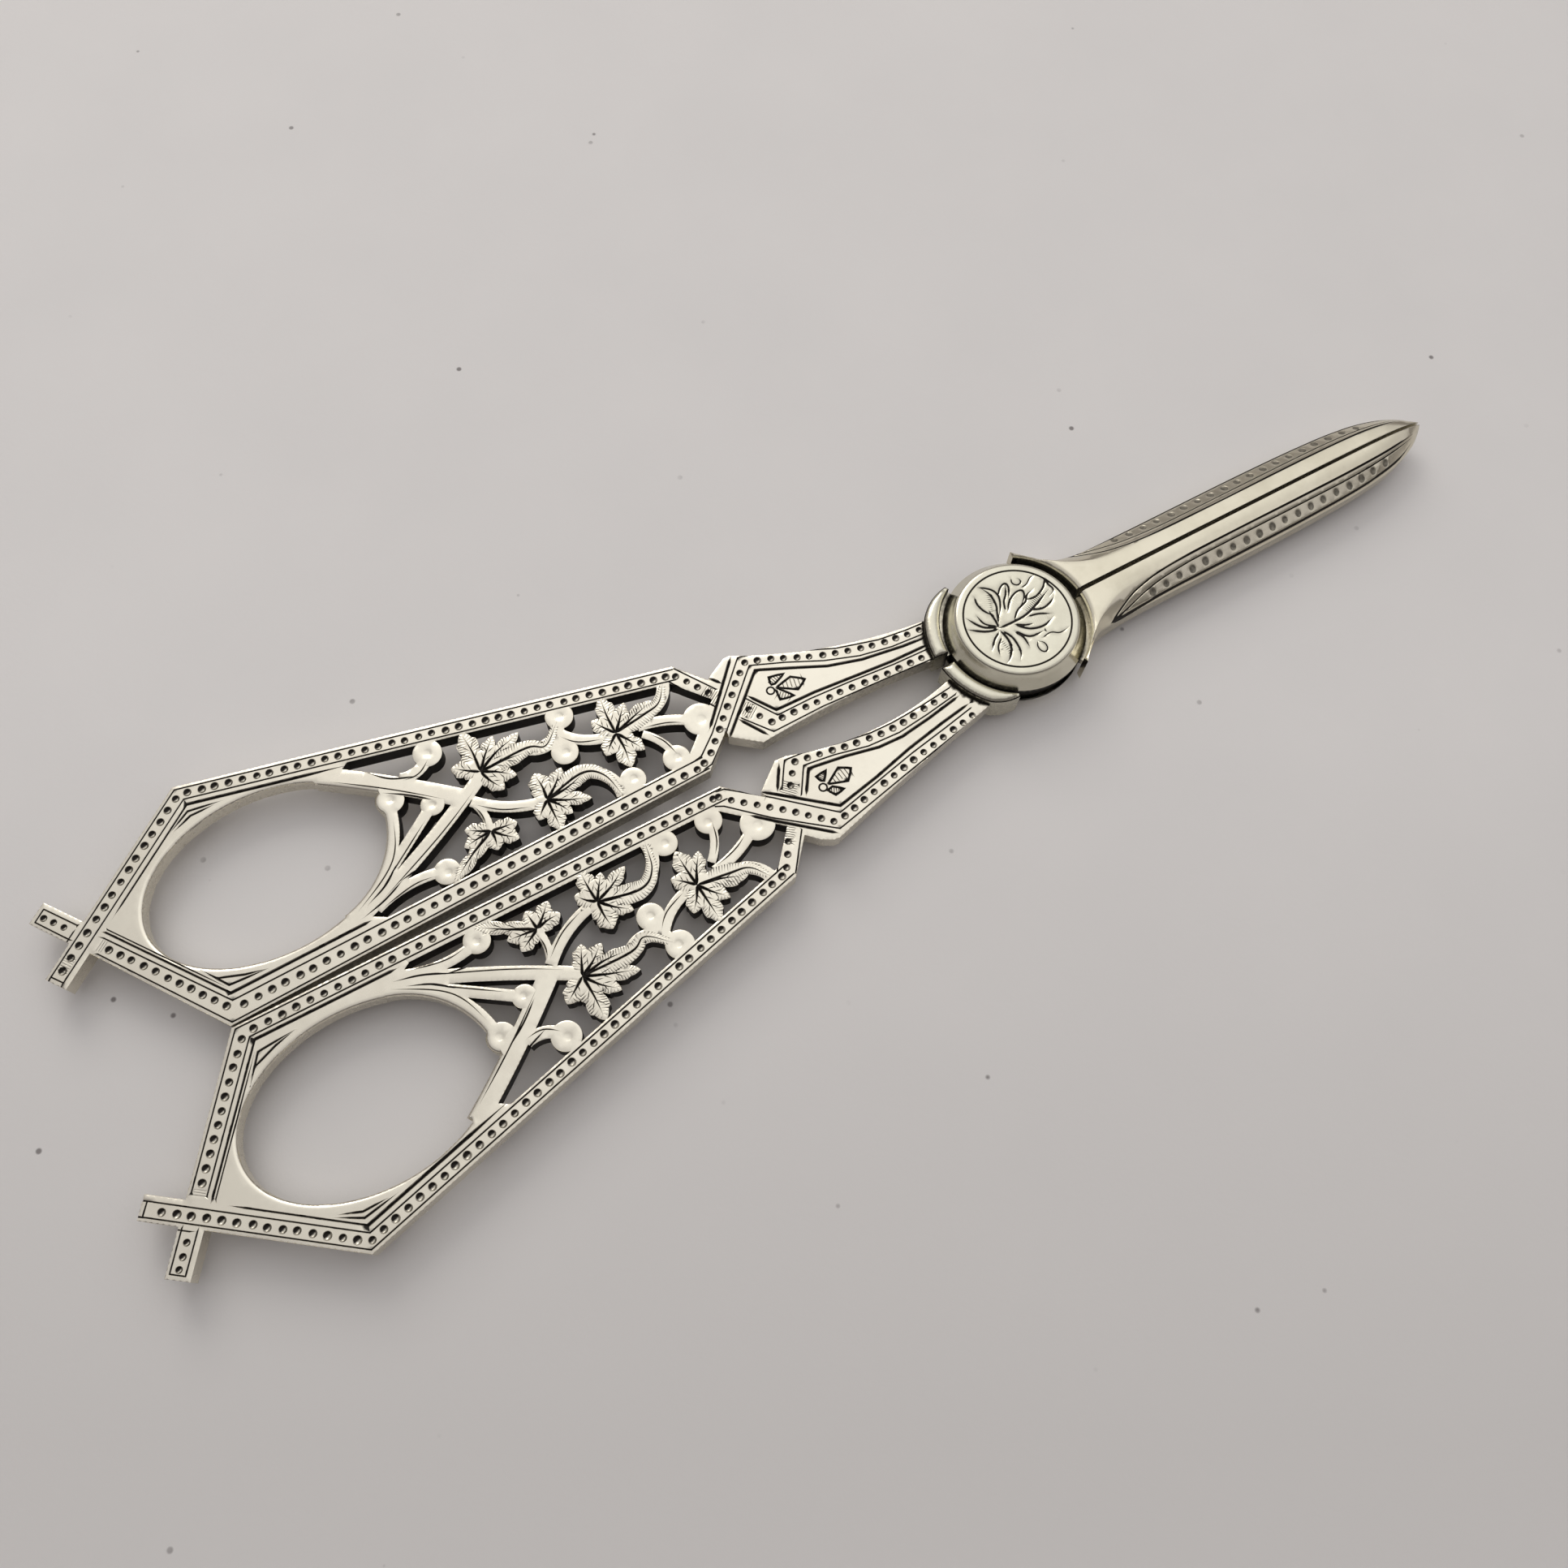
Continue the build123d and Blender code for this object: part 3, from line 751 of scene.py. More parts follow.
def lobe_cuts(stalk, heading, length, width, others, covered, random):
    """Vein, side veins and edge hatching of one lobe, the hatching clear of its neighbours."""
    out, across = heading_axes(heading)
    curl = random.uniform(-0.05, 0.05) * length
    vein = [stalk, stalk + out * 0.45 * length + across * curl, stalk + out * 0.86 * length]
    cuts = [stroke(vein, 0.40, depth=0.2, taper=(0.12, 0.75), smooth=True)]
    for side in (-1, 1):
        for share in (0.3, 0.52):
            foot = stalk + out * share * length
            tip = foot + out * 0.2 * length + across * side * 0.30 * width
            cuts.append(stroke([foot, tip], 0.2, depth=0.1, taper=(0.1, 0.8)))
        for place in np.arange(0.24, 0.95, COMB_PITCH / length):
            reach = lobe_reach(place)
            edge = stalk + out * place * length + across * side * reach * width
            if any(within_lobe(edge, stalk, *other) for other in others):
                continue
            if any(inside_loops(edge[None], [loop])[0] for loop in covered):
                continue
            depth = min(random.uniform(0.28, 0.40), reach * 0.75) * width
            inner = edge - across * side * depth - out * 0.05 * length
            cuts.append(comb_cut(edge, inner))
    return cuts


# %% Curled tails
tail_table = np.array([
    # share of the tail's length and half its width
    (0.0, 0.35), (0.12, 0.85), (0.28, 1.2), (0.42, 1.15), (0.55, 0.85), (0.72, 0.62), (0.9, 0.45),
    (1.0, 0.3),
])


def tail_sides(path):
    """Share of the length, direction, left side and half width at each place of a tail."""
    lengths = lengths_along(path)
    shares = lengths / lengths[-1]
    along, normal = directions(path)
    return shares, along, normal, np.interp(shares, *tail_table.T), lengths[-1]


def tail_outline(path):
    _, _, normal, half, _ = tail_sides(path)
    across = normal * half[:, None]
    return np.vstack([path - across, (path + across)[::-1]])


def tail_cuts(path, random):
    """A curled tail has a vein and a comb along both edges."""
    shares, along, normal, half, length = tail_sides(path)
    cuts = [stroke(path, 0.32, depth=0.14, taper=(0.05, 0.5))]
    for place in np.arange(0.2, 0.97, COMB_PITCH / length):
        spot, out, side = (
            np.array([np.interp(place, shares, values[:, axis]) for axis in (0, 1)])
            for values in (path, along, normal)
        )
        reach = np.interp(place, shares, half)
        for sign in (-1, 1):
            edge = spot + side * sign * reach
            inner = spot + side * sign * reach * random.uniform(0.3, 0.5) - out * 0.22
            cuts.append(comb_cut(edge, inner))
    return cuts


# %% The whole vine
def vine_features(shift, random):
    """Cuts, pits and outlines of the tails of one handle's vine."""
    cuts, pits = [], []
    tails = [
        curve([vine_spot(spot, shift) for spot in (leaves[leaf][0], *stems[stem][:3])])
        for leaf, stem in TAILS
    ]
    outlines = [tail_outline(tail) for tail in tails]
    for tail in tails:
        cuts.extend(tail_cuts(tail, random))
    for stalk_shares, lobes in leaves:
        stalk = vine_spot(stalk_shares, shift)
        sized = [(turn, length * LEAF_LENGTH, width * LEAF_LENGTH) for turn, length, width in lobes]
        for lobe in sized:
            others = [other for other in sized if other is not lobe]
            cuts.extend(lobe_cuts(stalk, *lobe, others, outlines, random))
    tail_stems = [stem for _, stem in TAILS]
    for index, (*places, width) in enumerate(stems):
        if index in tail_stems:
            continue
        # One shaded line along the left side of each plain stem
        path = curve([vine_spot(place, shift) for place in places])
        first, last = int(len(path) * 0.1), int(len(path) * 0.88)
        line = (path + directions(path)[1] * (width * STEM_WIDTH / 4))[first:last]
        cuts.append(stroke(line, 0.18, depth=0.1, taper=(0.3, 0.3), dark=0.75))
    for shares, radius in berries:
        # A shallow dish a little off the middle, and one short cut beside it
        x, y = vine_spot(shares, shift)
        pits.append((x + random.uniform(-0.15, 0.15), y + random.uniform(-0.15, 0.15),
                     radius * BERRY_RADIUS * 0.36, 0.07, 0.05))
        sx, sy = x + random.uniform(-0.4, 0.2), y + random.uniform(-0.4, 0.2)
        nick = [(sx, sy), (sx + 0.3, sy + 0.45)]
        cuts.append(stroke(nick, 0.12, depth=0.26, dark=0.45, taper=(0.3, 0.3)))
    return cuts, pits, outlines


# %% [markdown]
# The straps are engraved as if one ran over the other at both crossings: the outer strap over
# the stub at the far end, the inner strap over the outer one at the neck. Every strap has a
# fine line along each edge and a row of punched dots between, and black lines set it off from
# the web. Both halves are cut by hand, so each has its own table: mirroring one drawing would
# lose that.

# %% Tables of the straps
# Corners of the straps' outer edges on the plan
corner_tables = {
    "right": {
        "near": (-39.01, 14.50), "far": (-95.0, 28.30), "free_end": (-114.0, 13.99),
        "stub_end": (-113.55, 20.51), "inner_far": (-98.84, 0.51), "inner_near": (-41.28, 1.15),
    },
    "left": {
        "near": (-39.01, 14.89), "far": (-94.77, 28.30), "free_end": (-114.0, 13.94),
        "stub_end": (-113.55, 20.68), "inner_far": (-98.84, 0.51), "inner_near": (-41.28, 1.21),
    },
}
# Widths of the thin and the black lines
FINE, BOLD = 0.21, 0.42
# How much nearer the seam the straps' corners lie than in the CAD part
SEAM_SHIFT = {"left": {"inner_far": 0.65, "inner_near": 0.07},
              "right": {"inner_far": 0.13, "inner_near": 0.12}}
neck_lines = {
    "left": {
        "fine": [
            [(-41.6, 1.62), (-40.7, 1.75), (-37.6, 4.3), (-31.0, 10.65), (-27, 8.95), (-23, 7.0),
             (-19, 5.55), (-15, 4.75), (-10.6, 4.4)],
            [(-42.4, 2.98), (-41.3, 3.2), (-38.9, 5.1), (-31.7, 12.2), (-28.9, 11.45), (-25.5, 9.8),
             (-21, 7.75), (-16, 6.3), (-12.6, 5.85), (-10.4, 5.7)],
            [(-38.9, 14.5), (-35.95, 9.95)],
            [(-40.2, 13.3), (-37.0, 7.9)],
            [(-33.4, 7.1), (-31.2, 3.5), (-26.8, 3.5), (-22, 3.2), (-16, 2.65), (-11.3, 2.45)],
            [(-35.0, 5.1), (-32.6, 1.9), (-26, 1.95), (-18, 1.5), (-11.3, 1.05)],
        ],
        "bold": [
            [(-39.0, 5.6), (-32.3, 12.75)],
            [(-37.6, 3.5), (-30.7, 9.8), (-27, 8.1), (-23, 6.2), (-19, 5.0), (-14, 4.2),
             (-10.9, 3.9)],
            [(-33.1, 7.35), (-31.0, 4.15), (-26, 4.0), (-20, 3.45), (-16, 3.1), (-11.2, 2.95)],
            [(-35.4, 5.2), (-33.3, 1.75)],
            [(-35.9, 11.5), (-34.9, 10.1)],
        ],
        "dots": [
            [(-41.6, 2.2), (-39.9, 3.2), (-35.8, 7.2), (-31.35, 11.3), (-28.3, 10.3), (-23.9, 8.1),
             (-19.4, 6.6), (-15.1, 5.6), (-10.9, 5.1)],
            [(-39.3, 13.7), (-36.3, 9.0)],
            [(-33.9, 5.8), (-32.2, 3.0), (-27.2, 2.85), (-22.5, 2.5), (-16.4, 1.95), (-11.8, 1.75)],
        ],
        "hatch": [((-37.3, 10.2), (-36.2, 8.4), 1.5), ((-34.4, 6.4), (-33.3, 4.9), 1.5)],
        "flower": {
            "ring": (-30.4, 6.6),
            "petals": [
                [(-30.0, 7.25), (-29.8, 8.25), (-27.9, 7.8), (-29.5, 7.15), (-30.0, 7.25)],
                [(-29.4, 6.7), (-27.5, 7.1), (-26.1, 6.0), (-27.5, 5.2), (-29.4, 6.5)],
                [(-29.8, 6.3), (-30.0, 5.05), (-28.2, 4.7), (-29.4, 6.3)],
            ],
        },
    },
    "right": {
        "fine": [
            [(-41.9, 1.45), (-41.0, 1.6), (-37.3, 4.6), (-30.9, 10.35), (-26, 9.3), (-20, 8.05),
             (-15, 7.2), (-11.2, 6.5)],
            [(-42.9, 2.95), (-42.0, 3.4), (-38, 7.15), (-31.9, 12.0), (-27, 11.0), (-22, 9.95),
             (-15, 8.55), (-10.3, 7.7)],
            [(-38.8, 14.1), (-35.7, 10.0)],
            [(-40.6, 13.1), (-37.5, 8.7)],
            [(-33.7, 6.4), (-31.7, 3.4), (-28, 3.95), (-24, 4.9), (-20, 5.15), (-16, 4.75),
             (-11.8, 4.15)],
            [(-35.3, 4.8), (-33.3, 1.8), (-31, 2.0), (-27, 2.9), (-23, 3.6), (-20, 3.7),
             (-16, 3.5), (-12, 3.1)],
        ],
        "bold": [
            [(-40.0, 5.75), (-38, 7.55), (-32.3, 12.4)],
            [(-37.6, 3.8), (-30.5, 9.65), (-25, 8.6), (-20, 7.4), (-15, 6.5), (-11.0, 5.9)],
            [(-33.3, 6.8), (-31.4, 4.0), (-27, 4.7), (-23, 5.6), (-20, 5.75), (-16, 5.25),
             (-11.5, 4.5)],
            [(-35.9, 4.8), (-34.0, 1.8)],
        ],
        "dots": [
            [(-42.2, 1.95), (-41.2, 2.9), (-36.2, 7.1), (-31.7, 11.2), (-26.3, 10.0), (-20.3, 8.85),
             (-15.3, 8.0), (-11.3, 7.3)],
            [(-39.5, 13.2), (-36.9, 9.3)],
            [(-34.3, 4.9), (-32.4, 2.5), (-28.9, 3.15), (-25.1, 3.85), (-20.6, 4.4),
             (-15.2, 3.9), (-12, 3.55)],
        ],
        "hatch": [((-38.0, 10.6), (-36.8, 9.0), 1.4), ((-35.2, 5.7), (-33.9, 4.4), 1.6)],
        "flower": {
            "ring": (-31.1, 6.8),
            "petals": [
                [(-30.95, 5.95), (-31.2, 5.25), (-29.7, 5.1), (-30.6, 6.2), (-30.95, 5.95)],
                [(-30.2, 6.6), (-28.4, 5.5), (-27.1, 6.3), (-28.2, 7.5), (-30.2, 6.8)],
                [(-30.8, 7.35), (-30.3, 8.3), (-29.0, 8.1), (-30.1, 7.2), (-30.8, 7.35)],
            ],
        },
    },
}
# Distances of the inner strap's far fine line, dots and bold line, on its two legs
inner_lines = {
    "left": ((2.0, 1.8), (1.2, 0.86), (2.6, 2.62)),
    "right": ((2.0, 1.62), (1.2, 0.98), (2.6, 2.15)),
}
# Where that strap comes out from under the outer one, and where its stub ends
UNDER, STUB = 0.335, 0.195
accents = [
    [(-99.3, 6.9), (-97.4, 4.05), (-93.2, 3.75)],
    [(-99.0, 6.2), (-98.1, 5.3), (-95.5, 4.3), (-93.4, 3.8)],
    [(-96.8, 23.3), (-94.3, 24.75), (-90.6, 24.15)],
    [(-96.4, 23.2), (-94.2, 24.1), (-91.5, 24.1)],
]
web_lines = [
    [(-82.2, 4.0), (-79.4, 4.75), (-76.8, 5.9)],
    [(-81.2, 5.1), (-78.6, 6.3), (-76.7, 7.9)],
    [(-77.2, 5.9), (-75.3, 6.2), (-73.0, 6.35)],
    [(-75.3, 19.6), (-73.2, 17.6), (-70.4, 16.4)],
    [(-74.6, 16.4), (-72.1, 14.7), (-70.0, 12.9)],
]


# %% Drawing on the plan
LADDER_PITCH, LADDER_WIDTH = 0.27, 0.12


def ladder(start, end, width):
    """Short parallel lines across a stretch."""
    start, end = np.asarray(start, float), np.asarray(end, float)
    run = end - start
    length = np.hypot(*run)
    unit = run / length
    normal = np.array([-unit[1], unit[0]]) * width / 2
    spots = [start + unit * place for place in np.arange(0, length, LADDER_PITCH)]
    return [[spot - normal, spot + normal] for spot in spots]


def plan_cut(line, width, **more):
    """A stroke drawn on the plan."""
    return stroke(to_part(line), width, **more)


def shading(start, end, width, depth=0.015, dark=0.45):
    """A stretch of the plan hatched across."""
    return [
        plan_cut(line, LADDER_WIDTH, depth=depth, dark=dark) for line in ladder(start, end, width)
    ]


def between(a, b, share):
    return a + (b - a) * share


def leg(line, start, end):
    """A line's first leg between two shares of its length."""
    return [between(line[0], line[1], start), between(line[0], line[1], end)]


# %% Straps
def outer_strap(half, random):
    """Engraving of the strap that runs out from the neck and round the far corner."""
    outer = [corner_tables[half][name] for name in ("near", "far", "free_end")]
    edge, dots_line = beside(outer, (0.40, 0.40)), beside(outer, (1.1, 1.12))
    bold = beside(outer, (2.48, 2.62))
    closing = between(edge[2], edge[1], 0.02)
    closing_in = beside(outer, (1.95, 1.95))[2] + (closing - edge[2])
    cuts = [
        plan_cut(edge, FINE),
        plan_cut(beside(outer, (1.78, 1.95)), FINE),
        plan_cut([between(bold[1], bold[0], 0.315), bold[1]], BOLD, taper=(0.25, 0)),
        plan_cut([bold[1], between(bold[1], bold[2], 0.62)], 0.26, taper=(0, 0.1)),
        plan_cut([closing, closing_in], FINE),
    ]
    if half == "left":
        cuts += shading(*leg(dots_line[1:], 0.87, 0.95), 1.1)
    return cuts, dots_along(to_part(dots_line), 1.52, 0.45, random, start=1.0, end=0.9)


def inner_strap(half, random):
    """Engraving of the stub beyond the far crossing and of the strap along the seam."""
    corners = corner_tables[half]
    inner = [corners[name] for name in ("stub_end", "inner_far", "inner_near")]
    moved = [inner[0]] + [
        (corners[name][0], corners[name][1] - shift) for name, shift in SEAM_SHIFT[half].items()
    ]
    edge = beside(moved, (0.40, 0.30))
    fine, dots_line, bold = (beside(inner, away) for away in inner_lines[half])
    over = beside([corners["far"], corners["free_end"]], (-0.3,))
    cuts = [
        plan_cut([between(*edge[:2], UNDER), *edge[1:]], FINE),
        plan_cut([between(*fine[:2], UNDER), *fine[1:]], FINE),
        plan_cut([between(*bold[:2], UNDER), bold[1]], 0.3),
        plan_cut([bold[1], between(bold[1], bold[2], 0.285)], 0.4, taper=(0, 0.04)),
        plan_cut(leg(beside(inner, (2.95, 2.62)), UNDER, 0.96), 0.18, taper=(0, 0.2)),
        plan_cut(leg(edge, 0.02, STUB), FINE),
        plan_cut(leg(fine, 0.02, STUB), FINE),
        plan_cut([between(*edge[:2], 0.02), between(*fine[:2], 0.02)], FINE),
        plan_cut(leg(over, 0.77, 0.93), 0.2),
    ]
    cuts += shading(*leg(dots_line, UNDER - 0.005, UNDER + 0.02), 1.2)
    pits = dots_along(to_part(leg(dots_line, 0.36, 1.0)), 1.46, 0.44, random, start=0.4, end=0.2)
    pits += dots_along(to_part(dots_line[1:]), 1.55, 0.45, random, start=1.2, end=0.4)
    stub_line = to_part(leg(dots_line, 0.03, STUB - 0.02))
    pits += dots_along(stub_line, 1.25, 0.4, random, start=0.3, end=0.1)
    return cuts, pits


# %% Neck
def flower(ring, petals):
    """The small motif on the neck: a circle and three hatched petals."""
    turns = np.linspace(0, 2 * pi, 17)
    circle = np.column_stack([ring[0] + 0.46 * np.cos(turns), ring[1] + 0.46 * np.sin(turns)])
    cuts = [plan_cut(circle, 0.24)]
    for petal in petals:
        cuts.append(plan_cut(petal, 0.32))
        petal = np.array(petal)
        run = petal[len(petal) // 2] - petal[0]
        side = np.array([-run[1], run[0]]) * 0.14
        for share in np.linspace(-0.5, 0.5, 6):
            spot = petal[:-1].mean(0) + run * share * 0.7
            cuts.append(plan_cut([spot - side, spot + side], 0.12, depth=0.05, dark=0.5))
    return cuts


def neck(half, random):
    """Engraving of the web and the neck."""
    tables = neck_lines[half]
    cuts = [plan_cut(line, 0.3, taper=(0.25, 0.3)) for line in accents]
    cuts += [plan_cut(line, 0.24, taper=(0.35, 0.2), smooth=True) for line in web_lines]
    cuts += [plan_cut(line, FINE) for line in tables["fine"]]
    cuts += [plan_cut(line, BOLD, taper=(0.02, 0.03)) for line in tables["bold"]]
    pits = []
    for line in tables["dots"]:
        pits += dots_along(to_part(line), 1.5, 0.43, random, start=0.2, end=0.1)
    for patch in tables["hatch"]:
        cuts += shading(*patch, depth=0.02, dark=0.75)
    return cuts + flower(**tables["flower"]), pits


def strap_features(half, random):
    """Cuts and dots of one handle's straps, web and neck, in part places."""
    cuts, pits = [], []
    for section in (outer_strap, inner_strap, neck):
        more_cuts, more_pits = section(half, random)
        cuts += more_cuts
        pits += more_pits
    return cuts, pits


# %% [markdown]
# Each handle is one plate, sawn out and engraved on both faces. The far face is a guess: it has the
# same design, which is how such pairs are usually cut. The rim of the finger ring is rounded well
# over. The walls of the small piercings are painted black as shade, and the walls along the seam
# and the face beside the collar get painted shade too.

# %% Handles
# Side on which the punch marks get painted shade, away from the light
PIT_SHADE_SIDE = {"right": (-0.963, -0.269), "left": (0.963, -0.269)}
HANDLE_WEAR, HANDLE_GRID = 0.13, 0.55
RIM_WIDTH, RIM_DROP = 0.5, 0.3
RIM_GUIDES = (0.1, 0.22, 0.36, 0.5)
# Radius within which the handle gets painted shade beside its collar
COLLAR_SHADE = 11.1


def radius_of(places):
    """Distance of places on the right half from the joint's axis."""
    return np.hypot(places[:, 0], places[:, 1] - pivot_y)


def outer_wall_shade(places):
    """Polished, with painted shade on the side along the seam, where it faces the other half."""
    return np.interp(places[:, 0], (1.0, 2.5), (0.3, 0.08))


def make_handle(half, body, seed):
    random = np.random.default_rng(seed)
    node = f"{half}_handle"
    loops = level_loops(node, plate_high[2], mirrored=half == "left")
    strap_cuts, strap_dots = strap_features(half, random)
    vine_cuts, vine_pits, tails = vine_features(VINE_SHIFT[half], random)
    for name, shift in SEAM_SHIFT[half].items():
        away = np.hypot(*(loops[0] - to_part([corner_tables[half][name]])[0]).T)
        loops[0][np.argmin(away), 0] -= shift
    ring_spots, ring_inwards = outline_samples(loops[1:2], 0.3)
    ring_tree = tree_of(outline_samples(loops[1:2], SAMPLE_STEP)[0])
    rim_lines = [
        np.vstack([spots, spots[:1]])
        for spots in (ring_spots + ring_inwards * inset for inset in RIM_GUIDES)
    ]

    def plate_height(flat, away):
        """Edges worn a little, the rim of the finger ring rounded well over."""
        rim = np.clip(1 - distances(ring_tree, flat) / RIM_WIDTH, 0, 1)
        return worn_edge(away, HANDLE_WEAR) - RIM_DROP * (1 - np.sqrt(1 - rim**2))

    surface = relief(loops, HANDLE_WEAR, HANDLE_GRID, plate_height, strap_cuts + vine_cuts,
                     strap_dots + vine_pits, rim_lines, PIT_SHADE_SIDE[half], tails)
    # Painted shade on the face beside the collar
    painted_collar_shade = np.clip((COLLAR_SHADE - radius_of(surface["flat"])) * 4, 0, 0.9)
    surface["dark"] = np.maximum(surface["dark"], painted_collar_shade)
    # The outside and the finger ring are polished, with painted shade along the seam; the walls of
    # the small piercings are painted black as shade
    wall_dark = (outer_wall_shade, 0.1, 0.97)
    front = shell(surface, plate_high[2], middle, wall_dark=wall_dark)
    back = shell(surface, plate_low[2], middle, mirrored=True, wall_dark=wall_dark)
    make_piece(
        f"{half}_handle_engraved", [front, back], body, node, handle_silver,
        flip=half == "left", sharp=20,
    )


make_handle("right", "right_half", 3)
make_handle("left", "left_half", 4)

# %% [markdown]
# A blade is a long tapering wedge. Its flat band runs along the seam and, at the joint, flares
# round the boss into a horn; the bevel beside it carries an engraved panel: two lines from a
# point, a row of round dots and a line near the edge. The section is read from stations along
# the blade, the same as the CAD part's, but joined smoothly, so that reflections run without
# kinks.

# %% Blade tables
SHOULDER = 9.0
SEAM = 0.15
LIP = 0.8
blade_stations = np.array([
    # beyond the pivot, outer edge, band's edge, crown and ridge above the middle
    (4.60, 8.42, 8.33, 2.40, 2.28),
    (5.79, 7.30, 7.16, 2.40, 2.16),
    (6.84, 6.47, 6.03, 2.40, 1.87),
    (7.84, 5.88, 5.29, 2.40, 1.49),
    (8.89, 5.44, 4.55, 2.40, 1.10),
    (10.20, 5.19, 3.77, 2.40, 0.82),
    (12.02, 5.05, 2.89, 2.40, 0.62),
    (13.99, 4.95, 2.30, 2.40, 0.50),
    (17.11, 4.90, 1.96, 2.40, 0.48),
    (24.86, 4.90, 1.86, 2.40, 0.48),
    (32.35, 4.90, 1.86, 2.38, 0.48),
    (41.04, 4.80, 1.86, 2.35, 0.46),
    (47.90, 4.56, 1.81, 2.30, 0.43),
    (52.89, 4.12, 1.72, 2.21, 0.41),
    (56.58, 3.33, 1.47, 1.99, 0.38),
    (59.60, 2.16, 0.98, 1.49, 0.31),
    (61.26, 1.08, 0.49, 0.96, 0.22),
    (62.20, 0.34, 0.20, 0.58, 0.14),
])
# How high the bevel stands at each share of its width: nearly flat slope, then rounded
section_table = np.array([
    (0.0, 1.0), (0.08, 0.975), (0.3, 0.835), (0.5, 0.675), (0.7, 0.495), (0.8, 0.4), (0.87, 0.32),
    (0.93, 0.22), (0.97, 0.12), (1.0, 0.0),
])
# How wide the lip under the other blade stays, by distance beyond the pivot
lip_table = np.array([
    (10.2, 1.0), (52.9, 1.0), (56.6, 0.95), (59.6, 0.75), (61.3, 0.5), (62.2, 0.3),
])
# Height of the outer edge as a share of the crown, on the face and on the back
FACE_FOOT, BACK_FOOT = 0.14, 0.68
BAND_BOW = {"right": 0.24, "left": 0.1}
BLADE_WEAR, BLADE_GRID = 0.16, 0.6
# How far out the hollow round the boss reaches, and its depth
HOLLOW_REACH, HOLLOW_DEPTH = 0.8, 0.4


def smoothly(places, xs, ys):
    """Monotone cubic through a table."""
    steps = np.diff(xs)
    slopes = np.diff(ys) / steps
    tangents = np.zeros(len(xs))
    tangents[0], tangents[-1] = slopes[0], slopes[-1]
    for i in range(1, len(xs) - 1):
        if slopes[i - 1] * slopes[i] > 0:
            w1, w2 = 2 * steps[i] + steps[i - 1], steps[i] + 2 * steps[i - 1]
            tangents[i] = (w1 + w2) / (w1 / slopes[i - 1] + w2 / slopes[i])
    places = np.clip(places, xs[0], xs[-1])
    i = np.clip(np.searchsorted(xs, places, side="right") - 1, 0, len(xs) - 2)
    t = (places - xs[i]) / steps[i]
    return (
        (2 * t**3 - 3 * t**2 + 1) * ys[i]
        + (t**3 - 2 * t**2 + t) * steps[i] * tangents[i]
        + (-2 * t**3 + 3 * t**2) * ys[i + 1]
        + (t**3 - t**2) * steps[i] * tangents[i + 1]
    )


def at_station(along, column):
    """Outer edge, band's edge, crown or ridge (columns 1 to 4) at places along a blade."""
    return smoothly(along, blade_stations[:, 0], blade_stations[:, column])


def on_blade(points):
    return np.asarray(points, float) + (0, pivot_y)


# %% Blade shape
def blade_height(flat, away, foot_share, most_bow):
    """Height of a blade's face above the top of its crown at each place."""
    along = flat[:, 1] - pivot_y
    outer, band, crown, ridge = (at_station(along, column) for column in (1, 2, 3, 4))
    bow = most_bow * np.clip((along - 9) / 6, 0, 1)
    crown = crown - bow * np.clip(flat[:, 0] / band, 0, 1) ** 2
    share = np.clip((flat[:, 0] - band) / np.maximum(outer - band, 0.05), 0, 1)
    foot = np.maximum(ridge * np.clip((14 - along) / 6, 0, 1) ** 0.5, crown * foot_share)
    lens = smoothly(share, *section_table.T)
    by_boss = np.clip(1 - (np.hypot(flat[:, 0], along) - SHOULDER) / HOLLOW_REACH, 0, 1)
    drop = worn_edge(away, BLADE_WEAR) * (1 - share) - HOLLOW_DEPTH * by_boss**2
    return foot + (crown - foot) * lens - blade_stations[0, 3] + drop


def blade_outline(inner):
    """Outline of a blade's face from its inner edge to the outer one, with the round shoulder."""
    low, tip = blade_stations[[0, -1], 0]
    turns = np.linspace(np.arcsin(inner / SHOULDER), np.arccos(low / SHOULDER), 40)
    arc = SHOULDER * np.column_stack([np.sin(turns), np.cos(turns)])
    along = np.linspace(low, tip, 120)
    edge = np.column_stack([at_station(along, 1), along])
    if inner < 0:
        back = np.linspace(tip, SHOULDER + 1, 60)
        seam = np.column_stack([inner * smoothly(back, *lip_table.T), back])
    else:
        edge = edge[edge[:, 0] > inner + 0.05]
        seam = np.array([(inner, edge[-1, 1])])
    return [on_blade(np.vstack([arc, edge, seam]))]


# Guide lines beside the seam, over the bevel as shares of its width, and round the shoulder
BAND_GUIDES = (0.2, 0.26, 0.32, 0.8, 1.3)
BEVEL_GUIDES = (0.06, 0.14, 0.82, 0.88, 0.93, 0.965)
SHOULDER_GUIDES = (0.2, 0.4, 0.6, 0.8)


def blade_guides():
    """Lines that keep the mesh true where the blade's section bends."""
    alongs = np.linspace(5.0, 61.5, 110)
    outer, band = at_station(alongs, 1), at_station(alongs, 2)
    lines = [np.column_stack([band, alongs])]
    for across in BAND_GUIDES:
        wide = (alongs > 9.2) & (band > across + 0.1)
        lines.append(np.column_stack([np.full(wide.sum(), across), alongs[wide]]))
    for share in BEVEL_GUIDES:
        wide = ((outer - band) * (1 - share) > 0.1) & (alongs < 60)
        lines.append(np.column_stack([band + (outer - band) * share, alongs])[wide])
    turns = np.linspace(0.05, 1.02, 40)
    for reach in SHOULDER_GUIDES:
        arc = (SHOULDER + reach) * np.column_stack([np.sin(turns), np.cos(turns)])
        lines.append(arc[arc[:, 0] < at_station(arc[:, 1], 1) - 0.1])
    return [on_blade(line) for line in lines]


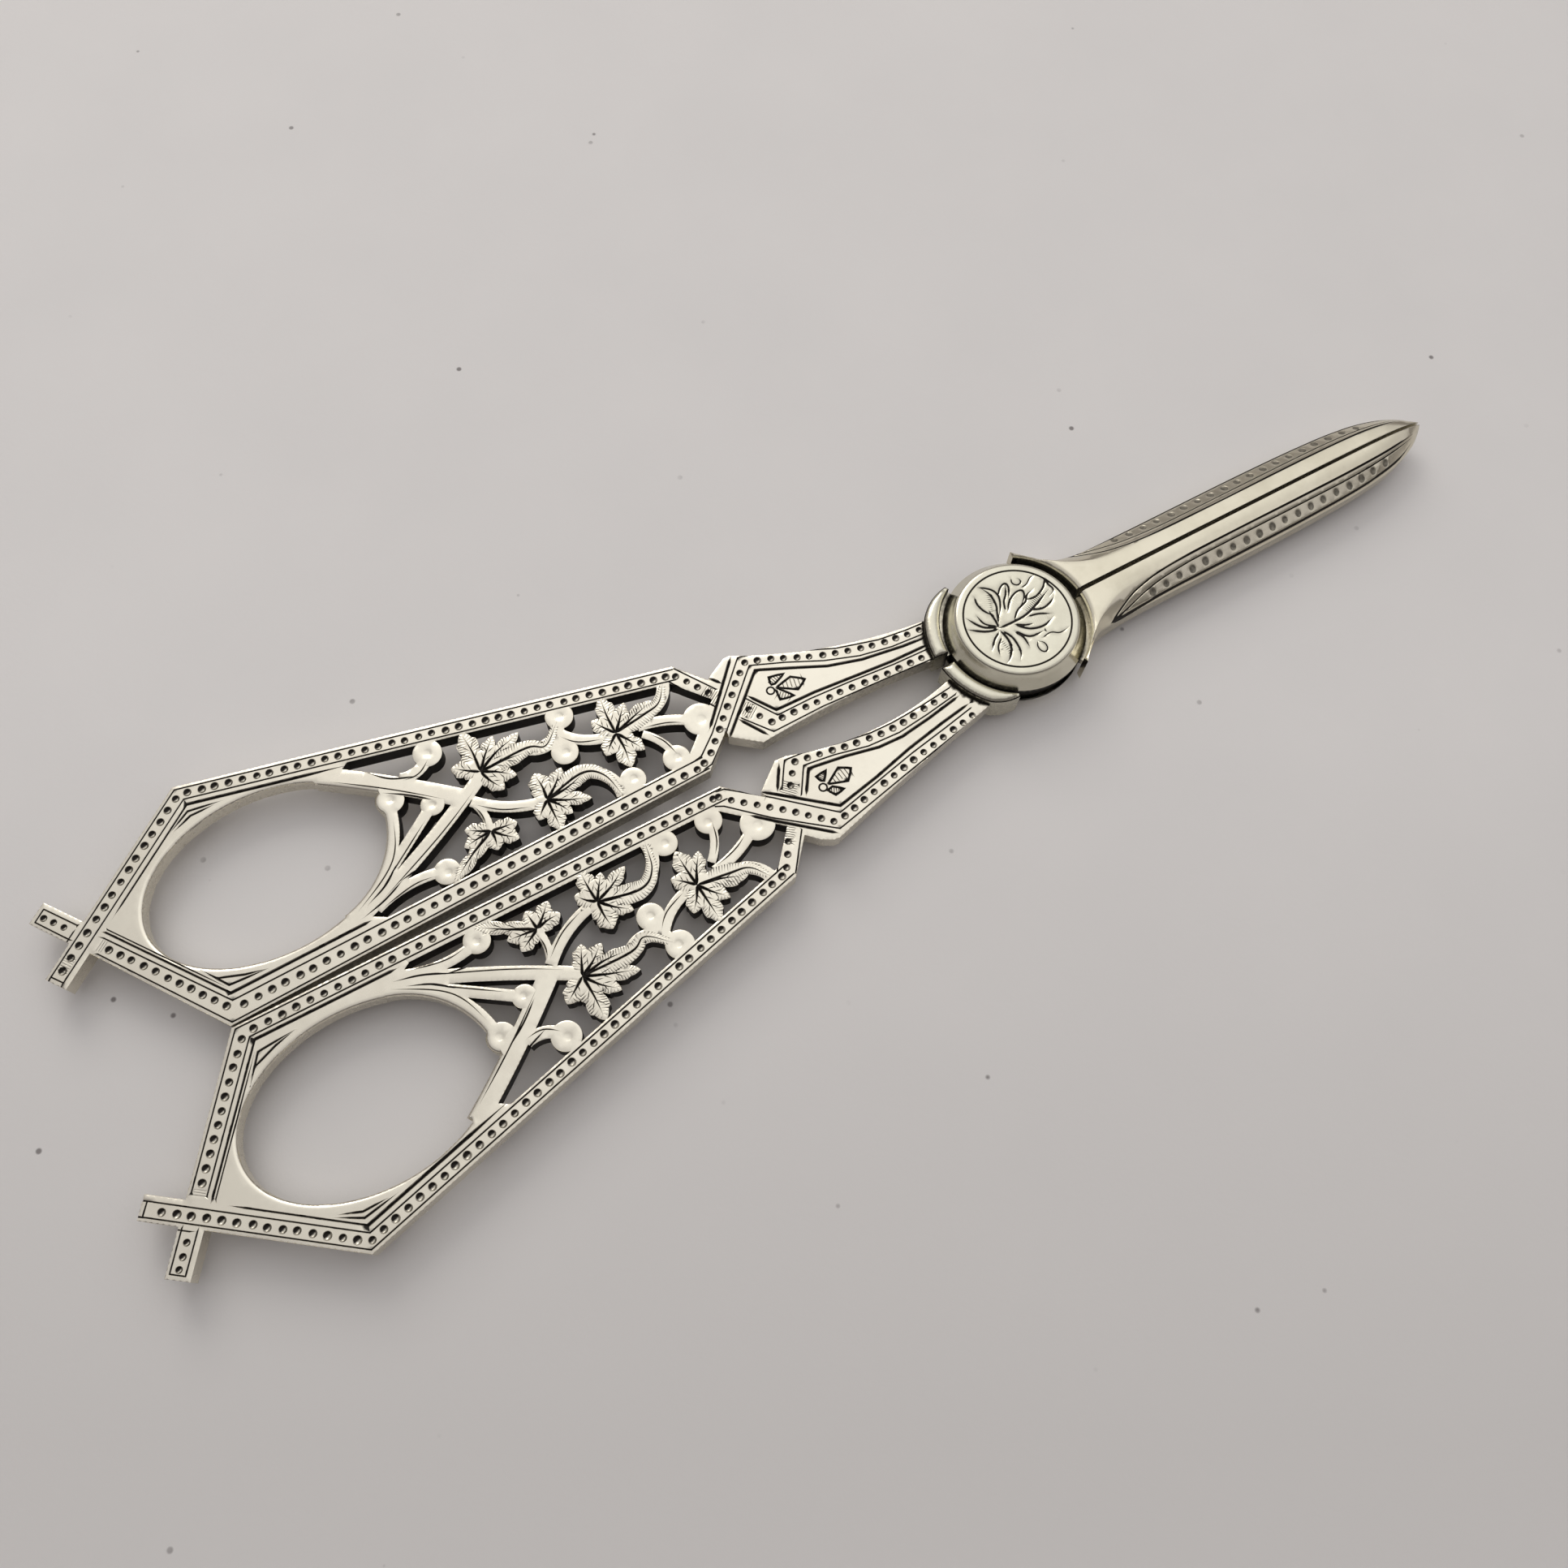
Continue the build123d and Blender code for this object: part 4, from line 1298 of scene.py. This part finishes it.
# %% Engraved panel
# The panel's three lines (outwards, beyond the pivot) with their widths; dots lie between the
# last two
panel_lines = [
    ([(5.12, 10.5), (4.0, 12.9), (3.2, 14.9), (2.75, 16.9), (2.45, 18.9), (2.2, 22.9),
      (2.14, 30), (2.14, 40), (2.1, 48), (1.9, 54), (1.5, 57.8), (1.1, 60)], 0.3),
    ([(5.08, 10.6), (4.4, 13.5), (3.75, 16), (3.3, 18.5), (3.0, 22), (2.88, 26), (2.85, 40),
      (2.78, 48), (2.5, 53), (2.0, 57), (1.4, 59.7)], 0.24),
    ([(5.08, 10.6), (4.82, 14), (4.6, 20), (4.58, 30), (4.5, 40), (4.25, 48), (3.78, 53),
      (3.05, 56.5), (1.9, 59.3)], 0.28),
]
PANEL_DOTS_FROM, PANEL_DOTS_TO, PANEL_DOT_PITCH, PANEL_DOT = 17.3, 55.5, 2.05, 0.54


def blade_features(random):
    """The engraved panel on one bevel; its dots get smaller near the tip."""
    cuts = [
        stroke(on_blade(curve(line, 1.0)), width, taper=(0.02, 0.08)) for line, width in panel_lines
    ]
    pits = []
    place = PANEL_DOTS_FROM
    while place < PANEL_DOTS_TO:
        high, low = (
            np.interp(place, *np.array(line)[:, ::-1].T) for line, _ in panel_lines[1:]
        )
        across = high * 0.5 + low * 0.5 + random.normal(0, 0.04)
        radius = PANEL_DOT * random.uniform(0.9, 1.06) * min(1, (57.5 - place) / 8 + 0.45)
        pits.append((across, pivot_y + place, radius, 0.09, 0.85))
        place += PANEL_DOT_PITCH * random.uniform(0.95, 1.05)
    return cuts, pits


# %% Blades
# Painted shade round the boss, and light soiling on the flat inner sides, which show only when the
# pair is open
PAINTED_ROOT_SHADE = {"right": 0.2, "left": 0.38}
SEAM_WALL_DARK, LEDGE_DARK = 0.17, 0.24
# Heights between which the CAD part's lap lies, above and below the middle
LAP_TOP, LAP_BOTTOM = 4.3, 2.3


def make_blade(half, body, inner_below, lap_low, lap_high, seed):
    """A blade with its face and its back, and its half of the lap as it is in the CAD part."""
    cuts, pits = blade_features(np.random.default_rng(seed))
    guides = blade_guides()

    def blade_side(inner, foot_share):
        """Relief of one side, with painted shade round the boss and a painted dark line along the
        seam.
        """
        surface = relief(
            blade_outline(inner), BLADE_WEAR, BLADE_GRID,
            lambda flat, away: blade_height(flat, away, foot_share, BAND_BOW[half]),
            cuts, pits, guides,
        )
        flat = surface["flat"]
        # Painted shade round the boss, and a painted black line along the seam's top edge, where
        # the gap is in shade
        by_boss = np.clip(1 - (radius_of(flat) - SHOULDER) / 0.5, 0, 1)
        seam_width = np.interp(flat[:, 1] - pivot_y, (9.0, 62.0), (0.17, 0.05))
        by_seam = np.clip((SEAM + seam_width - flat[:, 0]) / 0.06, 0, 1)
        surface["dark"] = np.max(
            [surface["dark"], PAINTED_ROOT_SHADE[half] * 0.7 * by_boss, 0.9 * by_seam], axis=0
        )
        return surface

    def wall_dark(places):
        """Painted shade round the boss, light soiling along the seam, polished outside."""
        by_boss = (radius_of(places) < SHOULDER + 0.05) & (places[:, 1] > pivot_y + 5.0)
        by_seam = np.where(places[:, 0] < 0.5, SEAM_WALL_DARK, 0.1)
        return np.where(by_boss, PAINTED_ROOT_SHADE[half], by_seam)

    def on_lap(ring):
        heights = ring[:, 2]
        return (
            radius_of(ring).max() < SHOULDER + 0.35
            and heights.min() > lap_low and heights.max() < lap_high
        )

    sides_dark = {"closed": True, "wall_dark": (wall_dark,), "floor_dark": LEDGE_DARK}
    front = shell(blade_side(SEAM, FACE_FOOT), blade_high[2], middle, **sides_dark)
    back = shell(blade_side(inner_below, BACK_FOOT), blade_low[2], middle - 0.05, mirrored=True,
                 **sides_dark)
    lap_verts, lap_faces = copied_faces(f"{half}_blade", on_lap)
    # Painted shade: the lap is nearly black inside the gap round the boss, and only a little darker
    # beyond
    lap_gap_shade = np.where(radius_of(lap_verts) > 8.6, 0.14, 0.8)
    if half == "left":
        lap_verts = lap_verts * (-1, 1, 1)
        lap_faces = [f[::-1] for f in lap_faces]
    make_piece(
        f"{half}_blade_engraved", [front, back, (lap_verts, lap_faces, lap_gap_shade)], body,
        f"{half}_blade", blade_silver, flip=half == "left",
    )


make_blade("right", "left_half", 1.1, middle, LAP_TOP, 5)
make_blade("left", "right_half", -LIP, LAP_BOTTOM, middle, 6)

# %% [markdown]
# The front boss is a shallow turned disc with a worn rim. Its face is engraved with a circle and
# a spray of vine leaves that grows from one stalk, with tendrils. The lines are this script's own
# drawing of that common motif. Each is listed with its width, because hand engraving follows no
# formula.

# %% Spray of vine leaves
spray = [
    ([(-3.0, 0.7), (-1, 0.62), (1, 0.7), (3, 1.3), (4.5, 1.9), (5.6, 2.3)], 0.3),
    ([(-2.9, 0.8), (-2.75, 2.0), (-2.75, 3.3)], 0.26),
    ([(-3.3, 5.6), (-3.55, 4.6), (-3.3, 3.5), (-2.6, 2.4)], 0.24),
    ([(-2.6, 1.3), (-2, 2.5), (-1.5, 3.5), (-1.4, 5.0), (-1.9, 6.2)], 0.26),
    ([(-2.2, 6.5), (-1.3, 5.9), (-0.7, 5.2), (-0.6, 4.2), (-1.2, 3.0), (-2.1, 2.0)], 0.24),
    ([(-0.9, 2.3), (-0.4, 3.4), (0.4, 4.2), (1.1, 5.3)], 0.24),
    ([(-0.5, 4.5), (0.1, 5.1), (0.8, 5.45), (1.25, 5.35), (1.15, 4.6), (0.3, 3.4)], 0.24),
    ([(-0.7, 2.1), (0.3, 3.2), (1.6, 3.8), (2.5, 3.7), (2.3, 2.9), (1.1, 1.9)], 0.24),
    ([(-0.6, 0.8), (0.5, 1.7), (2.0, 2.2), (2.7, 2.9), (3.8, 3.2)], 0.24),
    ([(2.2, 2.4), (3.5, 2.2), (5.0, 2.8), (5.9, 3.6), (5.85, 2.9), (6.05, 2.0), (5.0, 1.4)], 0.24),
    ([(2.0, 1.0), (3.3, 0.5), (4.6, 0.7), (5.6, 1.2)], 0.26),
    ([(-1.0, 0.3), (0.2, -0.4), (1.2, -0.7)], 0.24),
    ([(-0.9, 0.1), (0.5, -1.1), (2.2, -1.5), (3.8, -1.1)], 0.28),
    ([(1.1, 0.4), (2.5, 0.1), (3.9, -0.6)], 0.24),
    ([(-3.0, 0.4), (-2.8, -1.0), (-3.1, -2.2), (-4.0, -3.2), (-4.7, -3.6)], 0.28),
    ([(-2.7, 0.2), (-2.15, -1.2), (-2.3, -3.0), (-3.0, -4.0)], 0.26),
    ([(-3.2, 0.3), (-4.4, -0.4), (-5.3, -1.3)], 0.24),
    ([(-3.3, -0.4), (-4.4, -1.3), (-4.9, -2.4)], 0.22),
    ([(-3.1, 0.6), (-4.7, 1.1), (-6.5, 2.3)], 0.28),
    ([(-3.1, 0.9), (-4.7, 1.8), (-5.8, 3.6)], 0.28),
    ([(-3.0, 1.0), (-4.2, 2.0), (-4.5, 3.4)], 0.22),
    ([(-1.5, -0.6), (-0.95, -1.7), (-1.0, -3.1)], 0.24),
    ([(-1.4, -0.5), (-0.2, -1.9), (1.8, -2.1)], 0.26),
    ([(2.2, 5.7), (1.95, 5.0), (2.5, 4.5), (3.1, 4.8), (2.9, 5.4)], 0.17),
    ([(2.5, 4.0), (3.5, 4.15), (4.3, 4.65), (5.1, 4.8)], 0.16),
    ([(1.1, -2.8), (2.4, -2.65), (3.4, -3.2), (4.8, -3.1)], 0.16),
    ([(0.3, -2.9), (-0.1, -3.5), (0.0, -4.2), (0.45, -4.5), (0.9, -4.1), (0.9, -3.4),
     (0.3, -2.9)], 0.17),
]
# Hatched patches of the leaves: start, end and width
spray_hatches = [
    ((-2.4, 3.0), (-1.6, 5.2), 0.9), ((-3.2, 3.6), (-3.0, 5.0), 0.5), ((-0.1, 3.7),
     (0.8, 4.9), 0.7),
    ((0.2, 2.7), (1.9, 3.3), 0.6), ((1.4, 1.2), (4.2, 2.2), 0.9), ((4.3, 1.9), (5.6, 2.7), 0.7),
    ((0.8, -0.4), (3.4, -0.9), 0.8), ((-3.6, -1.0), (-3.5, -2.8), 0.9), ((-2.6, -0.6),
     (-2.6, -2.8), 0.4),
    ((-4.2, 0.2), (-4.9, -0.8), 0.4), ((3.2, 0.9), (5.0, 1.4), 0.5),
]
SPRAY_CENTRE = np.array([-0.15, 0.8])
SPRAY_SCALE = np.array([0.945, 1.0])
print("spray:", len(spray), "lines,", len(spray_hatches), "hatched patches")


def on_boss(points):
    """Places on the boss's face as drawn (along, to the left) as part places."""
    moved = (np.asarray(points, float) - SPRAY_CENTRE) * SPRAY_SCALE
    return np.column_stack([-moved[:, 1], pivot_y + moved[:, 0]])


# %% [markdown]
# Both bosses have the same turned profile, so one table of steps gives their height and also the
# circles that the mesh has to keep. The back boss is bored for the screw and has plain circles
# and dots about it.

# %% Bosses
BOSS_BASE = 8.55
boss_steps = np.array([
    # radius and height below the face: worn rim, then the steep side
    (7.0, 0), (7.15, -0.03), (7.28, -0.1), (7.38, -0.19), (7.46, -0.31), (7.54, -0.52),
    (BOSS_BASE, -1.95),
])
BACK_BORE = 2.85
BACK_DOTS, BACK_DOTS_RADIUS = 24, 5.78


def ring_line(radius, count=72, clockwise=False):
    """Closed circle about the joint's axis."""
    turns = np.linspace(0, 2 * pi, count + 1)
    if clockwise:
        turns = turns[::-1]
    return np.column_stack([radius * np.cos(turns), pivot_y + radius * np.sin(turns)])


def boss_height(flat, away):
    return np.interp(radius_of(flat), *boss_steps.T)


def front_marks():
    """The spray with its hatched leaves in a circle."""
    cuts = [stroke(ring_line(6.4, 96), 0.26)]
    for points, width in spray:
        cuts.append(stroke(
            on_boss(points), width * 1.45, depth=width * 0.4, taper=(0.08, 0.25), smooth=True
        ))
    for patch in spray_hatches:
        for line in ladder(*patch):
            cuts.append(stroke(on_boss(line), 0.15, depth=0.015, taper=(0.1, 0.2), dark=0.8))
    return cuts, []


def back_marks():
    """Plain circles and a ring of punched dots."""
    circles = ((6.55, 0.22), (5.0, 0.16), (3.7, 0.16))
    cuts = [stroke(ring_line(radius, 90), width) for radius, width in circles]
    turns = [2 * pi * index / BACK_DOTS for index in range(BACK_DOTS)]
    pits = [
        (BACK_DOTS_RADIUS * cos(turn), pivot_y + BACK_DOTS_RADIUS * sin(turn), 0.42, 0.25, 0.9)
        for turn in turns
    ]
    return cuts, pits


def make_boss(name, body, marks, bores, floor, face, mirrored):
    loops = [ring_line(BOSS_BASE)[:-1], *bores]
    guides = [ring_line(radius) for radius in (*boss_steps[:-1, 0], 7.8, 8.1)]
    surface = relief(loops, 0.06, 0.6, boss_height, *marks, guides)
    # Painted shade: the boss's side, down in the gap round the joint, is darkened, and the bore's
    # wall still more
    part = shell(surface, face, floor, mirrored=mirrored, wall_dark=(0.5, 0.9))
    make_piece(f"{name}_engraved", [part], body, name, joint_silver)


back_bore = ring_line(BACK_BORE, 40, clockwise=True)[:-1]
make_boss("front_boss", "left_half", front_marks(), [], boss_low[2], boss_high[2], False)
make_boss(
    "back_boss", "right_half", back_marks(), [back_bore], boss_high[2] - boss_low[2], 0.0, True
)

# %% [markdown]
# A collar is a half-round moulding that closes each handle against the joint. It could be bent
# wire, soldered on. It is full where the neck meets it and thins to a point round the side. The
# relief gives it its section from the distance to the edge, so the moulding follows its own
# outline as it thins.

# %% Collars
COLLAR_WIDTH, COLLAR_TIP, COLLAR_SWELL = 1.8, 0.5, 0.15
COLLAR_FROM, COLLAR_TO = 4.0, 60.5
COLLAR_EASE, COLLAR_DROP = 0.85, 0.62


def collar_outline(full_angle):
    """Crescent round the joint, full up to an angle in degrees."""
    angles = np.radians(np.linspace(COLLAR_FROM, COLLAR_TO, 60))
    outer, tip = SHOULDER + COLLAR_WIDTH, SHOULDER + COLLAR_TIP
    radii = np.interp(np.degrees(angles), (COLLAR_FROM, full_angle, COLLAR_TO), (outer, outer, tip))
    swell = np.clip((np.degrees(angles) - full_angle) / (COLLAR_TO - full_angle), 0, 1)
    radii += COLLAR_SWELL * np.sin(swell * pi)
    far = np.column_stack([radii * np.sin(angles), pivot_y - radii * np.cos(angles)])
    near = np.column_stack([SHOULDER * np.sin(angles), pivot_y - SHOULDER * np.cos(angles)])
    return [np.vstack([far, near[::-1]])]


def collar_height(flat, away):
    """Half-round section."""
    share = np.clip(away / COLLAR_EASE, 0, 1)
    return -COLLAR_DROP * (1 - np.sqrt(1 - (1 - share) ** 2))


def collar_wall_shade(places):
    """Painted shade towards the boss, polished outside."""
    return np.where(radius_of(places) < SHOULDER + 0.1, 0.5, 0.12)


def make_collar(half, body, full_angle):
    surface = relief(collar_outline(full_angle), 0.5, 0.22, collar_height)
    # Painted shade: the moulding darkens towards its edges, where its round section turns from the
    # light
    surface["dark"] = np.maximum(0, 0.9 - surface["away"] * 5)
    front = shell(surface, collar_high[2], middle, wall_dark=(collar_wall_shade,))
    back = shell(surface, collar_low[2], middle, mirrored=True, wall_dark=(collar_wall_shade,))
    make_piece(
        f"{half}_collar_moulded", [front, back], body, f"{half}_collar",
        joint_silver, flip=half == "left",
    )


make_collar("right", "right_half", 42.0)
make_collar("left", "left_half", 33.0)

# %% [markdown]
# The pivot screw shows only at the back: a flush head with a slot, dark in the corners. Only the
# head needs a mesh of its own. The shank is hidden, so its faces are copied from the CAD part.

# %% Screw
HEAD_RADIUS, HEAD_WEAR, HEAD_THICKNESS = 2.8, 0.18, 1.1
SLOT_HALF, SLOT_DEPTH, SLOT_WALL = 0.3, 0.45, 0.02
SHANK_DARK = 0.45


def in_slot(flat):
    return np.abs(flat[:, 1] - pivot_y) < SLOT_HALF - SLOT_WALL / 2


def head_height(flat, away):
    """Slightly domed head with a rounded edge and a straight slot."""
    domed = worn_edge(away, HEAD_WEAR) - 0.05 * (radius_of(flat) / HEAD_RADIUS) ** 2
    return np.where(in_slot(flat), -SLOT_DEPTH, domed)


def make_screw():
    slot_edges = [
        np.column_stack([np.linspace(-2.79, 2.79, 24), np.full(24, pivot_y + offset)])
        for offset in (-SLOT_HALF, -SLOT_HALF + SLOT_WALL, SLOT_HALF - SLOT_WALL, SLOT_HALF)
    ]
    outline = ring_line(HEAD_RADIUS, 48)[:-1]
    surface = relief([outline], HEAD_WEAR, 0.3, head_height, guides=slot_edges)
    surface["dark"] = np.where(in_slot(surface["flat"]), 0.9, 0.1)
    head = shell(surface, 0.0, HEAD_THICKNESS, mirrored=True, closed=True, wall_dark=(0.8,))
    verts, faces = copied_faces(
        "pivot_screw", lambda ring: ring[:, 2].min() > HEAD_THICKNESS - 0.05
    )
    shank = (verts, faces, np.full(len(verts), SHANK_DARK))
    make_piece(
        "pivot_screw_slotted", [head, shank], "left_half", "pivot_screw",
        screw_silver,
    )


make_screw()

# %% [markdown]
# The pair lies on pale cartridge paper. A flat plane would end in a visible edge in some views, so
# the sheet is a wide dish that curves up far away. Its slight mottling and its few dark flecks are
# noise, because no image is used. Its near edge is made greyer as painted shade, where the light
# falls off.

# %% Paper
def paper_material():
    material, tree = node_material("paper")
    place = add_node(tree, "TexCoord", "Object")
    mottle = add_node(tree, "TexNoise", "Fac", {"Vector": place, "Scale": 45.0, "Detail": 5.0})
    fibres = add_node(tree, "TexNoise", "Fac", {"Vector": place, "Scale": 1500.0, "Detail": 4.0})
    tint = add_node(tree, "Mix", "Result", {
        "Factor": mottle, "A": (0.765, 0.747, 0.735, 1), "B": (0.825, 0.803, 0.787, 1),
    }, data_type="RGBA")

    # Painted shade: the sheet is made a little greyer towards its near edge, where the light falls
    # off
    nearness = add_node(tree, "VectorMath", "Value", {0: place, 1: (-0.871, 0.491, 0.0)},
                        operation="DOT_PRODUCT")
    falloff_shade_share = add_node(tree, "MapRange", "Result", {
        "Value": nearness, "From Min": -0.075, "From Max": 0.0, "To Min": 0.8, "To Max": 0.0,
    })
    falloff_shaded = add_node(tree, "Mix", "Result", {
        "Factor": falloff_shade_share, "A": tint, "B": (0.655, 0.635, 0.62, 1),
    }, data_type="RGBA")

    # Sparse dark flecks in the pulp
    flecks = add_node(tree, "TexVoronoi", "Distance", {"Vector": place, "Scale": 150.0})
    fleck_share = add_node(tree, "MapRange", "Result", {
        "Value": flecks, "From Min": 0.035, "From Max": 0.06, "To Min": 0.75, "To Max": 0.0,
    })
    some = add_node(tree, "TexNoise", "Fac", {"Vector": place, "Scale": 70.0})
    some_share = add_node(tree, "MapRange", "Result", {
        "Value": some, "From Min": 0.5, "From Max": 0.62,
    })
    both = add_node(tree, "Math", "Value", {0: fleck_share, 1: some_share}, operation="MULTIPLY")
    flecked = add_node(tree, "Mix", "Result", {
        "Factor": both, "A": falloff_shaded, "B": (0.12, 0.10, 0.10, 1),
    }, data_type="RGBA")
    bump = add_node(tree, "Bump", "Normal", {
        "Strength": 0.25, "Distance": 0.06 * MM, "Height": fibres,
    })
    set_inputs(tree.nodes["Principled BSDF"], {
        "Base Color": flecked, "Roughness": 0.95, "Specular IOR Level": 0.2, "Normal": bump,
    })
    return material


# %% Sheet
# Radius and height in metres
SHEET_PROFILE = [(0.5, 0.0), (1.0, 0.0), (1.15, 0.012), (1.3, 0.055), (1.42, 0.14), (1.5, 0.27),
                 (1.54, 0.45), (1.55, 0.6)]
SHEET_SIDES = 64


def make_floor():
    """Wide sheet that curves up at its far edge all round, so every view has a pale ground."""
    verts, faces = [(0.0, 0.0, 0.0)], []
    for reach, height in SHEET_PROFILE:
        for index in range(SHEET_SIDES):
            turn = 2 * pi * index / SHEET_SIDES
            verts.append((reach * cos(turn), reach * sin(turn), height))
    for index in range(SHEET_SIDES):
        following = (index + 1) % SHEET_SIDES
        faces.append((0, 1 + index, 1 + following))
        for ring in range(len(SHEET_PROFILE) - 1):
            a = 1 + ring * SHEET_SIDES
            b = a + SHEET_SIDES
            faces.append((a + index, b + index, b + following, a + following))
    mesh = bpy.data.meshes.new("paper_sheet")
    mesh.from_pydata(verts, [], faces)
    mesh.update()
    mesh.shade_smooth()
    mesh.materials.append(paper_material())
    floor = bpy.data.objects.new("paper_sheet", mesh)
    bpy.context.scene.collection.objects.link(floor)
    print("paper sheet:", len(verts), "points")


make_floor()

# %% [markdown]
# The light is a soft sky: bright overhead and a little to the far side, darker low down, as in a
# room with one large window. Polished flats mirror the bright part, bevels and walls the darker
# part, which makes engraved silver readable, while lamps alone would leave it black. One
# soft lamp on the far side gives the shadow towards the viewer.

# %% Light
# Direction of the brightest sky, and its colour from the side away from it to the full height
SKY_TOP = (-0.352, 0.337, 0.873)
sky_stops = [
    (0.0, (0.15, 0.135, 0.14)),
    (0.3, (0.155, 0.145, 0.14)),
    (0.465, (0.27, 0.26, 0.25)),
    (0.52, (0.62, 0.60, 0.62)),
    (0.84, (0.72, 0.705, 0.70)),
    (0.905, (0.94, 0.925, 0.92)),
    (1.0, (1.17, 1.16, 1.15)),
]


def make_world():
    world = bpy.data.worlds.new("window_light")
    world.use_nodes = True
    tree = world.node_tree
    place = add_node(tree, "TexCoord", "Generated")
    lean = add_node(tree, "VectorMath", "Value", {0: place, 1: SKY_TOP}, operation="DOT_PRODUCT")
    ramp = tree.nodes.new("ShaderNodeValToRGB")
    elements = ramp.color_ramp.elements
    while len(elements) < len(sky_stops):
        elements.new(0.5)
    for element, (share, colour) in zip(elements, sky_stops):
        element.position = share
        element.color = (*colour, 1)
    set_inputs(ramp, {"Fac": lean})
    set_inputs(tree.nodes["Background"], {"Color": ramp.outputs["Color"], "Strength": 1.0})
    bpy.context.scene.world = world


make_world()


def softbox(name, place, size, power, colour):
    """Square lamp aimed at the middle of the shears."""
    light = bpy.data.lights.new(name, "AREA")
    light.shape = "SQUARE"
    light.size = size
    light.energy = power
    light.color = colour
    lamp = bpy.data.objects.new(name, light)
    bpy.context.scene.collection.objects.link(lamp)
    lamp.location = place
    lamp.rotation_mode = "QUATERNION"
    lamp.rotation_quaternion = (-Vector(place)).to_track_quat("-Z", "Y")


softbox("window", (-0.641, 0.086, 0.48), 0.45, 1.6, (1.0, 0.97, 0.92))
print("light:", len(sky_stops), "tones of sky and one soft lamp")

# %% [markdown]
# The camera stands over the handles and looks down past the joint, at the photograph's angle.
# Its turn, tilt and small roll and its field of view come from fitting the plan to the photo,
# because a camera set by eye is only roughly right.

# %% Camera
camera_data = bpy.data.cameras.new("camera")
camera_data.sensor_width = 36.0
camera_data.lens = 32.005
camera_data.clip_start, camera_data.clip_end = 0.01, 10
camera = bpy.data.objects.new("camera", camera_data)
bpy.context.scene.collection.objects.link(camera)
camera.location = (0.05373, -0.0405, 0.1504)
camera.rotation_euler = (radians(21.93), radians(-1.435), radians(60.57))
bpy.context.scene.camera = camera
bpy.context.scene.view_settings.view_transform = "Standard"
print("camera at", tuple(camera.location), "with a lens of", camera_data.lens, "mm")
